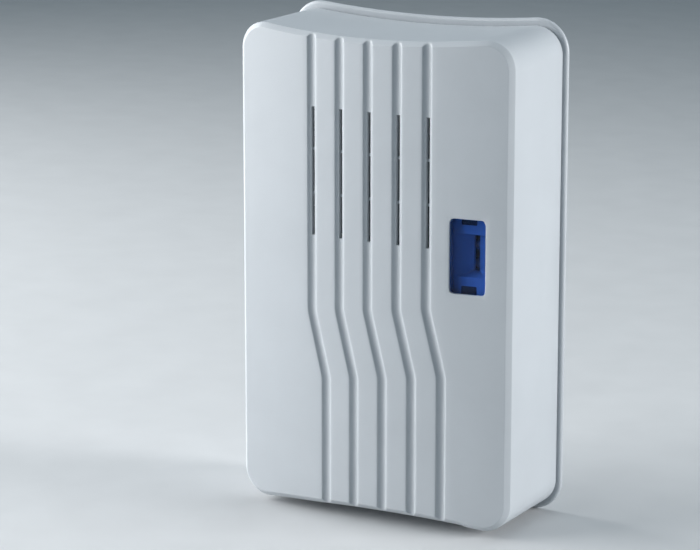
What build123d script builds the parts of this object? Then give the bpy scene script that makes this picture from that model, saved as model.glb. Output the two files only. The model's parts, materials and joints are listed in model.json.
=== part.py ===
# Battery doorbell chime box: a ribbed front housing with sound slots and a blue lamp window,
# a wall plate with a battery tray and hinged door, a loudspeaker, a circuit board and controls.
# Frame: +Z up, the ribbed face looks towards -Y, the wall face is at +Y, and the origin is at
# the middle of the base of the bounding box. Millimetres.
import os
from math import atan, cos, pi, radians, sin, sqrt, tan

from build123d import *

os.makedirs("parts", exist_ok=True)

# Front housing
housing_width = 84.2
housing_height = 138.0
side_depth = 30.6
front_bow = 3.4
top_dip = 2.9
base_rise = 2.7
housing_corner = 7.8
edge_chamfer = 1.25
shell_wall = 2.2

# Wall plate with its proud rim, set off from the housing by a shadow gap
rim_thickness = 1.2
seam_gap = 0.5
rim_proud_side = 1.2
rim_proud_end = 2.1
rim_corner = 9.1
rim_round = 0.5
neck_inset = 1.2
plate_thickness = 2.2
lip_height = 2.5
lip_wall = 1.6
lip_clearance = 0.15

# Grooves of the front, each stepped sideways once
groove_count = 5
groove_pitch = 8.9
groove_width = 2.9
groove_depth = 1.5
groove_side_wall = 1.2
jog_shift = 4.6
jog_length = 18.6
jog_mid_height = 50.7
jog_bend_radius = 8.0

# Sound slots in the groove floors
slot_width = 1.0
slot_run = 36.0
slot_bridge = 0.8
slot_rows = 3
sound_top_distance = 41.7

# Lamp window
window_side_distance = 12.4
window_mid_height = 77.4
window_width = 10.3
window_length = 20.1
window_corner = 1.2
lens_recess = 0.25
lens_clearance = 0.1
lens_thickness = 1.6
lens_flange_reach = 1.4
lens_flange_thickness = 0.8
lens_rim = 1.3

# Light box behind the window
light_box_depth = 6.0
light_box_wall = 1.0
light_notch_width = 4.5
light_notch_depth = 2.4
lamp_slot_width = 1.4
lamp_slot_length = 9.8
lamp_shroud_depth = 3.2
light_leg_width = 2.0

# Lamps
lamp_radius = 1.5
lamp_flange_radius = 1.9
lamp_flange_thickness = 0.9
lamp_body_length = 4.8
lamp_pitch = 5.0
lamp_lead = 0.5
lamp_lead_pitch = 1.27
lamp_clearance = 0.4

# Loudspeaker
speaker_radius = 20.0
speaker_flange_thickness = 0.8
speaker_opening_radius = 17.6
speaker_seat_stand = 0.8
speaker_gasket_thickness = 1.0
speaker_fence_wall = 1.4
speaker_fence_clearance = 0.4
basket_depth = 3.6
basket_back_radius = 12.6
basket_wall = 0.8
basket_window_count = 4
basket_window_turn = 50.0
plate_radius = 12.0
top_plate_thickness = 1.0
magnet_thickness = 3.2
magnet_radius = 12.0
yoke_thickness = 1.0
pole_radius = 6.2
coil_gap_radius = 7.6
magnet_bore_radius = 8.4
coil_clearance = 0.35
coil_wall = 0.7
coil_length = 4.2
cone_rim_radius = 14.6
cone_wall = 0.6
cone_drop = 2.0
dust_cap_radius = 8.6
dust_cap_rise = 1.7
dust_cap_wall = 0.4
surround_wall = 0.4
surround_rise = 1.4
surround_crown = 0.9
cone_travel = 0.4

# Loudspeaker screws
speaker_post_radius = 2.6
speaker_post_ring = 23.4
speaker_post_angles = (35.0, 145.0, 270.0)
speaker_screw_radius = 1.1
speaker_screw_length = 5.0
speaker_head_radius = 2.2
speaker_head_height = 1.4
washer_radius = 4.3
washer_thickness = 0.6

# Screws through the wall plate into the housing
case_screw_side_distance = 8.1
case_screw_end_distance = 11.0
case_screw_radius = 1.5
case_screw_length = 10.0
case_head_radius = 2.8
case_head_height = 2.0
case_post_radius = 3.25
case_cup_radius = 4.5
case_cup_floor = 1.5
case_cup_depth = 3.8
head_clearance = 0.3
thread_clearance = 0.05
through_clearance = 0.15
pilot_overrun = 1.0
drive_slot_width = 0.6
drive_slot_depth = 0.7
drive_reach_share = 0.62

# Battery cells and their tray
cell_radius = 7.1
cell_length = 49.5
cell_nub_radius = 2.75
cell_nub_height = 1.0
cell_edge = 0.4
cell_count = 3
cell_pitch = 15.0
tray_side_room = 1.6
tray_floor_room = 0.3
tray_wall = 1.5
tray_base_height = 11.0
cradle_heights = (27.0, 54.0)
cradle_thickness = 2.0
cradle_rise = 3.0
cradle_clearance = 0.15
contact_thickness = 0.5
contact_width = 11.5
contact_length = 8.4
spring_height = 5.0
spring_wire = 0.8
spring_base_radius = 4.4
spring_tip_radius = 2.8
spring_turns = 3
spring_sides = 6

# Battery door, its hinge and its snap tongue
door_thickness = 2.0
door_gap = 0.3
door_ledge = 1.8
ledge_thickness = 1.5
door_room = 0.8
barrel_radius = 1.5
hinge_pin_radius = 0.8
hinge_pin_length = 1.4
hinge_clearance = 0.06
latch_width = 12.0
latch_pocket_side = 1.0
latch_rise = 6.5
latch_top_room = 0.8
latch_depth = 4.7
latch_wall = 1.0
latch_pocket_wall = 1.2
latch_floor_room = 0.6
latch_pad = 2.0
latch_pad_thickness = 1.2

# Keyholes for the wall screws
keyhole_x = 22.0
keyhole_top_distance = 31.0
keyhole_entry_radius = 4.0
keyhole_slot_radius = 2.0
keyhole_rise = 8.0

# Circuit board
board_thickness = 1.6
board_stand = 11.5
board_side_gap = 1.15
board_top_distance = 18.0
board_tray_gap = 3.0
board_leg_gap = 1.8
board_leg_drop = 18.8
board_corner = 1.5
board_post_radius = 2.6
board_post_inset = 4.5
board_screw_radius = 1.1
board_screw_length = 6.0
board_head_radius = 2.2
board_head_height = 1.4

# Parts on the board, most with their inset from the nearest side and end of the board
receiver_size = (14.0, 12.0)
receiver_inset = (11.5, 18.0)
receiver_board_thickness = 1.0
receiver_gap = 0.4
shield_inset = 1.5
shield_height = 2.0
chip_size = (7.5, 10.3)
chip_inset = (9.0, 15.0)
chip_height = 2.3
chip_leg_width = 0.5
chip_leg_reach = 1.4
chip_leg_pitch = 1.27
chip_leg_count = 7
chip_leg_lift_share = 0.5
capacitor_gap = 6.4
capacitor_radius = 3.15
capacitor_height = 7.0
capacitor_crimp = 0.3
crystal_inset = (10.5, 24.5)
crystal_size = (11.0, 4.6)
crystal_height = 3.5
antenna_wire = 0.8
antenna_inset = (1.7, 8.0)
antenna_length = 21.0
antenna_stand = 3.0
antenna_bend = 1.6
socket_size = (7.0, 4.4)
socket_height = 4.6
socket_wall = 0.8
socket_pin_pitch = 2.5
socket_pin_length = 2.6
speaker_socket_inset = (11.0, 6.0)
battery_socket_inset = (17.0, 4.0)

# Melody key and its switch
melody_x = -10.5
control_gap = 0.8
key_radius = 3.8
key_recess = 0.5
key_flange_radius = 5.4
key_flange_thickness = 1.0
key_stem_radius = 1.7
key_travel = 0.5
key_dish = 0.5
moving_clearance = 0.3
tact_size = 6.0
tact_height = 3.5
plunger_radius = 1.7
plunger_stand = 1.2
plunger_seat = 1.4

# Volume knob and its switch
volume_x = 11.0
knob_width = 5.6
knob_height = 4.2
knob_recess = 0.5
knob_flange_width = 15.0
knob_flange_height = 7.2
knob_flange_thickness = 1.0
knob_travel = 2.0
knob_grip_count = 3
knob_grip_width = 0.6
knob_grip_depth = 0.4
slider_body_width = 10.0
slider_body_height = 4.6
slider_body_thickness = 3.6
lever_width = 1.6
lever_stand = 4.0
lever_seat = 1.5
lever_fit = 0.1

# One overrun for every cut that runs past a face, and the gap between stacked pieces
overrun = 1.0
seat_gap = 0.05

# Places along the depth
overall_depth = front_bow + side_depth + seam_gap + rim_thickness
wall_y = overall_depth / 2
front_y = -overall_depth / 2
neck_y = wall_y - rim_thickness
seam_y = neck_y - seam_gap
plate_y = wall_y - plate_thickness
bow_radius = ((housing_width / 2) ** 2 + front_bow**2) / (2 * front_bow)
bow_axis_y = front_y + bow_radius

# Places along the height. The rim stands on its two rounded lower corners, which hang
# below the ends of its arched base by less than the corner radius.
rim_width = housing_width + 2 * rim_proud_side
rim_height = housing_height + 2 * rim_proud_end
base_arc_radius = ((rim_width / 2) ** 2 + base_rise**2) / (2 * base_rise)
corner_centre_rise = base_rise - base_arc_radius + sqrt(
    (base_arc_radius + rim_corner) ** 2 - (rim_width / 2 - rim_corner) ** 2
)
rim_base = rim_corner - corner_centre_rise
housing_base = rim_base + rim_proud_end
housing_middle = housing_base + housing_height / 2
housing_top = housing_base + housing_height
sound_z = housing_top - sound_top_distance
window_z = housing_base + window_mid_height
window_x = housing_width / 2 - window_side_distance
keyhole_z = housing_top - keyhole_top_distance
case_screw_x = housing_width / 2 - case_screw_side_distance
case_screw_places = [
    (x, z)
    for x in (-case_screw_x, case_screw_x)
    for z in (housing_base + case_screw_end_distance, housing_top - case_screw_end_distance)
]


def upright(y):
    """Plane that faces the front at depth y: its own x and y are the row's X and Z."""
    return Plane.XZ.offset(-y)


def bow_y(x, inset=0):
    """Depth of the bowed front, or of a layer behind it, at distance x from the middle."""
    return bow_axis_y - sqrt((bow_radius - inset) ** 2 - x**2)


def case_face(y, width, height, base, corner, inset=0):
    """Outline with straight sides and a hollow top and base, inset evenly."""
    half = width / 2
    top = base + height
    with BuildSketch(upright(y)) as face:
        with BuildLine():
            Line((half, base), (half, top))
            ThreePointArc((half, top), (0, top - top_dip), (-half, top))
            Line((-half, top), (-half, base))
            ThreePointArc((-half, base), (0, base + base_rise), (half, base))
        make_face()
        fillet(face.vertices(), corner)
        if inset:
            offset(amount=-inset)
    return face.sketch


def housing_face(y, inset=0):
    """Outline of the front housing at depth y."""
    return case_face(y, housing_width, housing_height, housing_base, housing_corner, inset)


def bow_column(inset, mode=Mode.INTERSECT):
    """Upright column whose front is the bowed face, set back by inset."""
    with Locations((0, bow_axis_y, housing_middle)):
        Cylinder(bow_radius - inset, housing_height + 2 * rim_corner, mode=mode)


def peg(x, z, radius, y_back, y_front, mode=Mode.ADD):
    """Round bar along the depth, from y_back towards the front."""
    with BuildSketch(upright(y_back)) as section:
        with Locations((x, z)):
            Circle(radius)
    extrude(section.sketch, amount=y_back - y_front, mode=mode)


def block(x, z, width, height, y_back, y_front, mode=Mode.ADD):
    """Bar with a rectangular section, centred on x and z."""
    with BuildSketch(upright(y_back)) as section:
        with Locations((x, z)):
            Rectangle(width, height)
    extrude(section.sketch, amount=y_back - y_front, mode=mode)


# Grooves: upright, a slanted step to the right, and upright again. The bends of all five
# lie on a slanting line, so that the ribs between them keep their width.
groove_places = [(i - (groove_count - 1) / 2) * groove_pitch for i in range(groove_count)]
jog_angle = atan(jog_shift / jog_length)
bend_rise = tan(jog_angle / 2)


def groove_ribbons(y, width):
    """The five stepped grooves as flat ribbons of one width."""
    with BuildSketch(upright(y)) as ribbons:
        for x in groove_places:
            upper = housing_base + jog_mid_height + jog_length / 2 + x * bend_rise
            lower = upper - jog_length
            with BuildLine(mode=Mode.PRIVATE) as path:
                FilletPolyline(
                    (x, housing_base + housing_height + rim_corner),
                    (x, upper),
                    (x + jog_shift, lower),
                    (x + jog_shift, housing_base - rim_corner),
                    radius=jog_bend_radius,
                )
            SlotArc(path.wire(), width)
    return ribbons.sketch


with BuildPart() as grooves:
    extrude(
        groove_ribbons(front_y - overrun, groove_width),
        amount=-(front_bow + groove_depth + 2 * overrun),
    )
    bow_column(groove_depth, mode=Mode.SUBTRACT)

with BuildPart() as groove_backs:
    extrude(
        groove_ribbons(front_y - overrun, groove_width + 2 * groove_side_wall),
        amount=-(front_bow + groove_depth + shell_wall + 2 * overrun),
    )
    bow_column(groove_depth + shell_wall, mode=Mode.SUBTRACT)

with BuildPart() as cavity:
    extrude(
        housing_face(seam_y + overrun, inset=shell_wall),
        amount=side_depth + front_bow + 2 * overrun,
    )
    bow_column(shell_wall)
    add(groove_backs.part, mode=Mode.SUBTRACT)

# Loudspeaker places, from its seat behind the grooves to the back of its magnet
speaker_seat_y = bow_y(speaker_radius, shell_wall + groove_depth) + speaker_seat_stand
gasket_y = speaker_seat_y + speaker_gasket_thickness
flange_back_y = gasket_y + speaker_flange_thickness
basket_back_y = flange_back_y + basket_depth
top_plate_back_y = basket_back_y + top_plate_thickness
magnet_back_y = top_plate_back_y + magnet_thickness
fence_radius = speaker_radius + speaker_fence_clearance
speaker_post_places = [
    (speaker_post_ring * cos(radians(angle)), sound_z + speaker_post_ring * sin(radians(angle)))
    for angle in speaker_post_angles
]

# Screw seats of the case and the depth of its posts
case_seat_y = wall_y - case_cup_depth
cup_front_y = case_seat_y - case_cup_floor
window_y = bow_y(window_x)

# Solid pieces that stand inside the front wall: the loudspeaker's ring and posts, and the
# long posts that take the case screws. They are trimmed inside the thickness of the wall.
with BuildPart() as inner_stands:
    peg(0, sound_z, fence_radius + speaker_fence_wall, flange_back_y - moving_clearance, front_y)
    peg(0, sound_z, fence_radius, flange_back_y, speaker_seat_y, mode=Mode.SUBTRACT)
    for x, z in speaker_post_places:
        peg(x, z, speaker_post_radius, flange_back_y, front_y)
    peg(0, sound_z, speaker_opening_radius, flange_back_y, front_y, mode=Mode.SUBTRACT)
    for x, z in case_screw_places:
        peg(x, z, case_post_radius, cup_front_y, front_y)
    bow_column((groove_depth + shell_wall) / 2)

# Front housing: bowed face, hollow top and base, chamfered front edge
with BuildPart() as front_housing:
    extrude(housing_face(seam_y), amount=side_depth + front_bow + overrun)
    bow_column(0)
    chamfer(front_housing.faces().sort_by(Axis.Y)[0].edges(), edge_chamfer)
    add(grooves.part, mode=Mode.SUBTRACT)
    add(cavity.part, mode=Mode.SUBTRACT)
    slot_pitch = (slot_run + slot_bridge) / slot_rows
    with BuildSketch(upright(0)):
        with Locations((0, sound_z)):
            with GridLocations(groove_pitch, slot_pitch, groove_count, slot_rows):
                Rectangle(slot_width, slot_pitch - slot_bridge)
    extrude(amount=-front_y + overrun, mode=Mode.SUBTRACT)
    add(inner_stands.part)
    with BuildSketch(upright(0)):
        with Locations((window_x, window_z)):
            RectangleRounded(window_width, window_length, window_corner)
    extrude(amount=-front_y + overrun, mode=Mode.SUBTRACT)
    for x, z in speaker_post_places:
        screw_end = flange_back_y + washer_thickness - speaker_screw_length
        bore = speaker_screw_radius + thread_clearance
        peg(x, z, bore, flange_back_y + overrun, screw_end - seat_gap, mode=Mode.SUBTRACT)
    for x, z in case_screw_places:
        bore = case_screw_radius + thread_clearance
        screw_end = case_seat_y - case_screw_length
        peg(x, z, bore, cup_front_y + overrun, screw_end - pilot_overrun, mode=Mode.SUBTRACT)
front_housing.part.label = "front_housing"
export_step(front_housing.part, "parts/front_housing.step")

# Battery tray and door places
cell_y = wall_y - door_thickness - door_room - cell_radius
tray_floor_y = cell_y - cell_radius - tray_floor_room
tray_width = (cell_count - 1) * cell_pitch + 2 * (cell_radius + tray_side_room)
tray_height = 2 * contact_thickness + spring_height + cell_length + cell_nub_height
tray_top = tray_base_height + tray_height
tray_middle = tray_base_height + tray_height / 2
cell_places = [(i - (cell_count - 1) / 2) * cell_pitch for i in range(cell_count)]
opening_width = tray_width + 2 * door_ledge
opening_height = tray_height + 2 * door_ledge
opening_low = tray_middle - opening_height / 2
opening_top = tray_middle + opening_height / 2
ledge_y = wall_y - door_thickness - door_gap
hinge_y = wall_y - barrel_radius
hinge_z = opening_low + door_gap + barrel_radius
door_width = opening_width - 2 * door_gap
door_top = opening_top - door_gap
latch_back_y = wall_y - latch_depth
pocket_floor_y = latch_back_y - latch_floor_room
pocket_top = opening_top + latch_rise + latch_top_room
pocket_half = latch_width / 2 + latch_pocket_side
control_height = pocket_top + latch_pocket_wall + control_gap + key_flange_radius

# Places on the circuit board: it fills the width between the lips, above the tray
board_back_y = plate_y - board_stand
board_front_y = board_back_y - board_thickness
board_right = housing_width / 2 - shell_wall - lip_clearance - lip_wall - board_side_gap
board_left = -board_right
board_low = tray_top + tray_wall + board_tray_gap
board_high = housing_top - board_top_distance
board_leg_left = tray_width / 2 + tray_wall + board_leg_gap
board_leg_low = window_z - board_leg_drop
board_posts = (
    (board_left + board_post_inset, board_high - board_post_inset),
    (board_right - board_post_inset, board_high - board_post_inset),
    (board_left + board_post_inset, board_low + board_post_inset),
    (board_right - board_post_inset, board_leg_low + board_post_inset),
)
receiver_at = (board_left + receiver_inset[0], board_low + receiver_inset[1])
chip_at = (board_right - chip_inset[0], board_high - chip_inset[1])
capacitor_at = (
    receiver_at[0],
    receiver_at[1] + receiver_size[1] / 2 + capacitor_gap + capacitor_radius,
)
crystal_at = (board_right - crystal_inset[0], board_high - crystal_inset[1])
antenna_at = (board_left + antenna_inset[0], board_low + antenna_inset[1])
speaker_socket_at = (board_right - speaker_socket_inset[0], board_high - speaker_socket_inset[1])
battery_socket_at = (board_left + battery_socket_inset[0], board_low + battery_socket_inset[1])


def cell_rods(radius, length):
    """Upright rods on the axes of the cells, from the base of the tray."""
    with BuildPart() as rods:
        with BuildSketch(Plane.XY.offset(tray_base_height)):
            with Locations(*[(x, cell_y) for x in cell_places]):
                Circle(radius)
        extrude(amount=length)
    return rods.part


# Wall plate: proud rim, shadow gap, locating lip, battery tray, latch pocket and screw cups
with BuildPart() as cradles:
    for height in cradle_heights:
        block(
            0,
            height,
            tray_width,
            cradle_thickness,
            tray_floor_y + cradle_rise,
            tray_floor_y,
        )
    add(cell_rods(cell_radius + cradle_clearance, tray_height), mode=Mode.SUBTRACT)

with BuildPart() as rear_cover:
    extrude(case_face(wall_y, rim_width, rim_height, rim_base, rim_corner), amount=rim_thickness)
    fillet(rear_cover.faces().filter_by(Axis.Y).edges(), rim_round)
    extrude(housing_face(neck_y, inset=neck_inset), amount=seam_gap)
    extrude(housing_face(seam_y, inset=shell_wall + lip_clearance), amount=lip_height)
    extrude(
        housing_face(plate_y, inset=shell_wall + lip_clearance + lip_wall),
        amount=lip_height,
        mode=Mode.SUBTRACT,
    )
    block(
        0,
        tray_middle,
        tray_width + 2 * tray_wall,
        tray_height + 2 * tray_wall,
        plate_y,
        tray_floor_y - tray_wall,
    )
    block(
        0,
        tray_middle,
        opening_width + 2 * tray_wall,
        opening_height + 2 * tray_wall,
        plate_y,
        ledge_y - ledge_thickness,
    )
    pocket_height = pocket_top + latch_pocket_wall - tray_top
    block(
        0,
        tray_top + pocket_height / 2,
        2 * (pocket_half + latch_pocket_wall),
        pocket_height,
        plate_y,
        pocket_floor_y - latch_pocket_wall,
    )
    for x, z in case_screw_places:
        peg(x, z, case_cup_radius, plate_y, cup_front_y)
    for x, z in board_posts:
        peg(x, z, board_post_radius, plate_y, board_back_y)
    block(0, tray_middle, tray_width, tray_height, wall_y + overrun, tray_floor_y, mode=Mode.SUBTRACT)
    block(0, tray_middle, opening_width, opening_height, wall_y + overrun, ledge_y, mode=Mode.SUBTRACT)
    trough_top = hinge_z + barrel_radius + door_gap
    block(
        0,
        (opening_low + trough_top) / 2,
        opening_width,
        trough_top - opening_low,
        wall_y + overrun,
        hinge_y - barrel_radius - door_gap,
        mode=Mode.SUBTRACT,
    )
    block(
        0,
        (tray_middle + pocket_top) / 2,
        2 * pocket_half,
        pocket_top - tray_middle,
        wall_y + overrun,
        pocket_floor_y,
        mode=Mode.SUBTRACT,
    )
    with BuildSketch(Plane.YZ.offset(-door_width / 2 - door_gap - hinge_pin_length)):
        with Locations((hinge_y, hinge_z)):
            Circle(hinge_pin_radius + hinge_clearance)
    extrude(amount=door_width + 2 * (door_gap + hinge_pin_length), mode=Mode.SUBTRACT)
    add(cradles.part)
    for x, z in case_screw_places:
        peg(x, z, case_head_radius + head_clearance, wall_y + overrun, case_seat_y, mode=Mode.SUBTRACT)
        peg(x, z, case_screw_radius + through_clearance, wall_y, cup_front_y - overrun, mode=Mode.SUBTRACT)
    for x, z in board_posts:
        screw_end = board_front_y + board_screw_length
        bore = board_screw_radius + thread_clearance
        peg(x, z, bore, screw_end + pilot_overrun, board_back_y - overrun, mode=Mode.SUBTRACT)
    with BuildSketch(upright(wall_y + overrun)):
        for x in (-keyhole_x, keyhole_x):
            with Locations((x, keyhole_z)):
                Circle(keyhole_entry_radius)
            with Locations((x, keyhole_z + keyhole_rise / 2)):
                SlotOverall(keyhole_rise + 2 * keyhole_slot_radius, 2 * keyhole_slot_radius, rotation=90)
    extrude(amount=plate_thickness + 2 * overrun, mode=Mode.SUBTRACT)
    peg(
        melody_x,
        control_height,
        key_radius + moving_clearance,
        wall_y + overrun,
        plate_y - overrun,
        mode=Mode.SUBTRACT,
    )
    block(
        volume_x,
        control_height,
        knob_width + 2 * (knob_travel + moving_clearance),
        knob_height + 2 * moving_clearance,
        wall_y + overrun,
        plate_y - overrun,
        mode=Mode.SUBTRACT,
    )
rear_cover.part.label = "rear_cover"
export_step(rear_cover.part, "parts/rear_cover.step")

# Battery door: flush plate, hinge barrel with its two pins, and the U-shaped snap tongue
with BuildPart() as battery_door:
    block(0, (hinge_z + door_top) / 2, door_width, door_top - hinge_z, wall_y, wall_y - door_thickness)
    for radius, extra in ((barrel_radius, 0), (hinge_pin_radius, hinge_pin_length)):
        with BuildSketch(Plane.YZ.offset(-door_width / 2 - extra)):
            with Locations((hinge_y, hinge_z)):
                Circle(radius)
        extrude(amount=door_width + 2 * extra)
    pad_top = pocket_top - latch_top_room
    tongue_top = pad_top - latch_pad
    with BuildSketch(Plane.YZ.offset(-latch_width / 2)):
        with BuildLine():
            Polyline(
                (wall_y - door_thickness / 2, door_top - latch_wall),
                (latch_back_y, door_top - latch_wall),
                (latch_back_y, tongue_top),
                (wall_y - latch_pad_thickness, tongue_top),
                (wall_y - latch_pad_thickness, pad_top),
                (wall_y, pad_top),
                (wall_y, tongue_top - latch_wall),
                (latch_back_y + latch_wall, tongue_top - latch_wall),
                (latch_back_y + latch_wall, door_top),
                (wall_y - door_thickness / 2, door_top),
                close=True,
            )
        make_face()
    extrude(amount=latch_width)
battery_door.part.label = "battery_door"
export_step(battery_door.part, "parts/battery_door.step")

# Lamp window: a clear blue lens, bowed like the front, with a flange behind the wall
flange_width = window_width + 2 * lens_flange_reach
flange_length = window_length + 2 * lens_flange_reach
lens_back = shell_wall + seat_gap + lens_flange_thickness
light_wall_y = window_y + light_box_depth

with BuildPart() as lens_flange:
    block(window_x, window_z, flange_width, flange_length, light_wall_y, front_y)
    bow_column(shell_wall + seat_gap)

with BuildPart() as lens_hollow:
    block(
        window_x,
        window_z,
        window_width - 2 * lens_rim,
        window_length - 2 * lens_rim,
        light_wall_y,
        front_y,
    )
    bow_column(lens_recess + lens_thickness)

with BuildPart() as window_lens:
    with BuildSketch(upright(light_wall_y)):
        with Locations((window_x, window_z)):
            RectangleRounded(
                window_width - 2 * lens_clearance,
                window_length - 2 * lens_clearance,
                window_corner - lens_clearance,
            )
    extrude(amount=light_box_depth + front_bow)
    bow_column(lens_recess)
    add(lens_flange.part)
    bow_column(lens_back, mode=Mode.SUBTRACT)
    add(lens_hollow.part, mode=Mode.SUBTRACT)
window_lens.part.label = "window_lens"
export_step(window_lens.part, "parts/window_lens.step")

# Light box: open to the lens, with a lamp slot in its back wall, a notch in its upper and
# lower wall, a shroud round the lamps and three legs that stand on the board
lamp_tip_y = light_wall_y + light_box_wall + lamp_clearance
lamp_base_y = lamp_tip_y + lamp_body_length
lamp_places = [(window_x, window_z + side * lamp_pitch / 2) for side in (-1, 1)]
shroud_width = 2 * (lamp_flange_radius + lamp_clearance)
shroud_length = shroud_width + lamp_pitch
leg_x = (flange_width - light_leg_width) / 2
leg_z = (flange_length - light_leg_width) / 2

with BuildPart() as light_box_front:
    block(window_x, window_z, flange_width, flange_length, light_wall_y + light_box_wall, front_y)
    bow_column(lens_back + seat_gap)
    block(window_x, window_z, window_width, window_length, light_wall_y, front_y, mode=Mode.SUBTRACT)
    notch_y = bow_y(window_x + flange_width / 2, lens_back) + light_notch_depth
    block(window_x, window_z, light_notch_width, flange_length, notch_y, front_y, mode=Mode.SUBTRACT)

with BuildPart() as light_box:
    add(light_box_front.part)
    shroud_y = light_wall_y + light_box_wall
    block(
        window_x,
        window_z,
        shroud_width + 2 * light_box_wall,
        shroud_length + 2 * light_box_wall,
        shroud_y + lamp_shroud_depth,
        shroud_y,
    )
    block(
        window_x,
        window_z,
        shroud_width,
        shroud_length,
        shroud_y + lamp_shroud_depth,
        shroud_y,
        mode=Mode.SUBTRACT,
    )
    block(
        window_x,
        window_z,
        lamp_slot_width,
        lamp_slot_length,
        shroud_y,
        light_wall_y - overrun,
        mode=Mode.SUBTRACT,
    )
    for side, end in ((-1, 1), (1, 1), (1, -1)):
        block(
            window_x + side * leg_x,
            window_z + end * leg_z,
            light_leg_width,
            light_leg_width,
            board_front_y,
            shroud_y,
        )
light_box.part.label = "light_box"
export_step(light_box.part, "parts/light_box.step")

# Lamps: two domed lamps, one above the other, on their leads
with BuildPart() as window_lamps:
    for x, z in lamp_places:
        peg(x, z, lamp_radius, lamp_base_y, lamp_tip_y + lamp_radius)
        with Locations((x, lamp_tip_y + lamp_radius, z)):
            Sphere(lamp_radius)
        peg(x, z, lamp_flange_radius, lamp_base_y, lamp_base_y - lamp_flange_thickness)
        for side in (-1, 1):
            block(x + side * lamp_lead_pitch, z, lamp_lead, lamp_lead, board_front_y, lamp_base_y)
window_lamps.part.label = "window_lamps"
export_step(window_lamps.part, "parts/window_lamps.step")


def spin_profile(points):
    """Solid of revolution about the loudspeaker's axis, from (radius, depth) points."""
    with BuildSketch(Plane.XY.offset(sound_z)) as section:
        with BuildLine():
            Polyline(*points, close=True)
        make_face()
    revolve(section.sketch, axis=Axis((0, 0, sound_z), (0, 1, 0)))


# Loudspeaker: foam gasket, pressed basket with openings, top plate, magnet and yoke
with BuildPart() as speaker_gasket:
    peg(0, sound_z, speaker_radius, gasket_y, speaker_seat_y)
    peg(0, sound_z, speaker_opening_radius, gasket_y, speaker_seat_y, mode=Mode.SUBTRACT)
speaker_gasket.part.label = "speaker_gasket"
export_step(speaker_gasket.part, "parts/speaker_gasket.step")

basket_floor_y = basket_back_y - basket_wall
with BuildPart() as speaker_basket:
    spin_profile(
        (
            (speaker_opening_radius, gasket_y),
            (speaker_radius, gasket_y),
            (speaker_radius, flange_back_y),
            (speaker_opening_radius + basket_wall, flange_back_y),
            (basket_back_radius + basket_wall, basket_back_y),
            (magnet_bore_radius, basket_back_y),
            (magnet_bore_radius, basket_floor_y),
            (basket_back_radius, basket_floor_y),
            (speaker_opening_radius, flange_back_y - basket_wall / 2),
        )
    )
    window_ring = (basket_back_radius + basket_wall + speaker_opening_radius) / 2
    window_band = speaker_opening_radius - basket_back_radius - 2 * basket_wall
    window_arc = CenterArc(
        (0, 0),
        window_ring,
        -basket_window_turn / 2,
        basket_window_turn,
        mode=Mode.PRIVATE,
    )
    with BuildSketch(upright(basket_back_y + overrun)):
        with Locations((0, sound_z)):
            with PolarLocations(0, basket_window_count):
                SlotArc(window_arc, window_band)
    extrude(amount=basket_depth + 2 * overrun, mode=Mode.SUBTRACT)
speaker_basket.part.label = "speaker_basket"
export_step(speaker_basket.part, "parts/speaker_basket.step")

with BuildPart() as speaker_top_plate:
    peg(0, sound_z, plate_radius, top_plate_back_y, basket_back_y)
    peg(0, sound_z, coil_gap_radius, top_plate_back_y, basket_back_y, mode=Mode.SUBTRACT)
speaker_top_plate.part.label = "speaker_top_plate"
export_step(speaker_top_plate.part, "parts/speaker_top_plate.step")

with BuildPart() as speaker_magnet:
    peg(0, sound_z, magnet_radius, magnet_back_y, top_plate_back_y)
    peg(0, sound_z, magnet_bore_radius, magnet_back_y, top_plate_back_y, mode=Mode.SUBTRACT)
speaker_magnet.part.label = "speaker_magnet"
export_step(speaker_magnet.part, "parts/speaker_magnet.step")

with BuildPart() as speaker_yoke:
    peg(0, sound_z, plate_radius, magnet_back_y + yoke_thickness, magnet_back_y)
    peg(0, sound_z, pole_radius, magnet_back_y, basket_back_y)
speaker_yoke.part.label = "speaker_yoke"
export_step(speaker_yoke.part, "parts/speaker_yoke.step")

# Moving part of the loudspeaker: voice coil, paper cone and dust cap, hung on the surround
coil_inner = pole_radius + coil_clearance
coil_outer = coil_inner + coil_wall
cone_throat_radius = coil_outer + seat_gap
cone_rim_y = gasket_y + speaker_flange_thickness / 2
cone_slope = cone_drop / (cone_rim_radius - cone_throat_radius)
coil_front_y = cone_rim_y + cone_drop
cap_seat_y = cone_rim_y + cone_slope * (cone_rim_radius - dust_cap_radius) - seat_gap

with BuildPart() as voice_coil:
    peg(0, sound_z, coil_outer, coil_front_y + coil_length, coil_front_y)
    peg(0, sound_z, coil_inner, coil_front_y + coil_length, coil_front_y, mode=Mode.SUBTRACT)
voice_coil.part.label = "voice_coil"
export_step(voice_coil.part, "parts/voice_coil.step")

with BuildPart() as speaker_cone:
    spin_profile(
        (
            (cone_throat_radius, coil_front_y),
            (cone_rim_radius, cone_rim_y),
            (cone_rim_radius, cone_rim_y + cone_wall),
            (cone_throat_radius, coil_front_y + cone_wall),
        )
    )
speaker_cone.part.label = "speaker_cone"
export_step(speaker_cone.part, "parts/speaker_cone.step")

cap_sphere_radius = (dust_cap_radius**2 + dust_cap_rise**2) / (2 * dust_cap_rise)
with BuildPart() as dust_cap:
    with BuildSketch(Plane.XY.offset(sound_z)):
        with Locations((0, cap_seat_y - dust_cap_rise + cap_sphere_radius)):
            Circle(cap_sphere_radius)
            Circle(cap_sphere_radius - dust_cap_wall, mode=Mode.SUBTRACT)
        with Locations((0, cap_seat_y)):
            Rectangle(dust_cap_radius, dust_cap_rise, align=(Align.MIN, Align.MAX), mode=Mode.INTERSECT)
    revolve(axis=Axis((0, 0, sound_z), (0, 1, 0)))
dust_cap.part.label = "dust_cap"
export_step(dust_cap.part, "parts/dust_cap.step")

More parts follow.
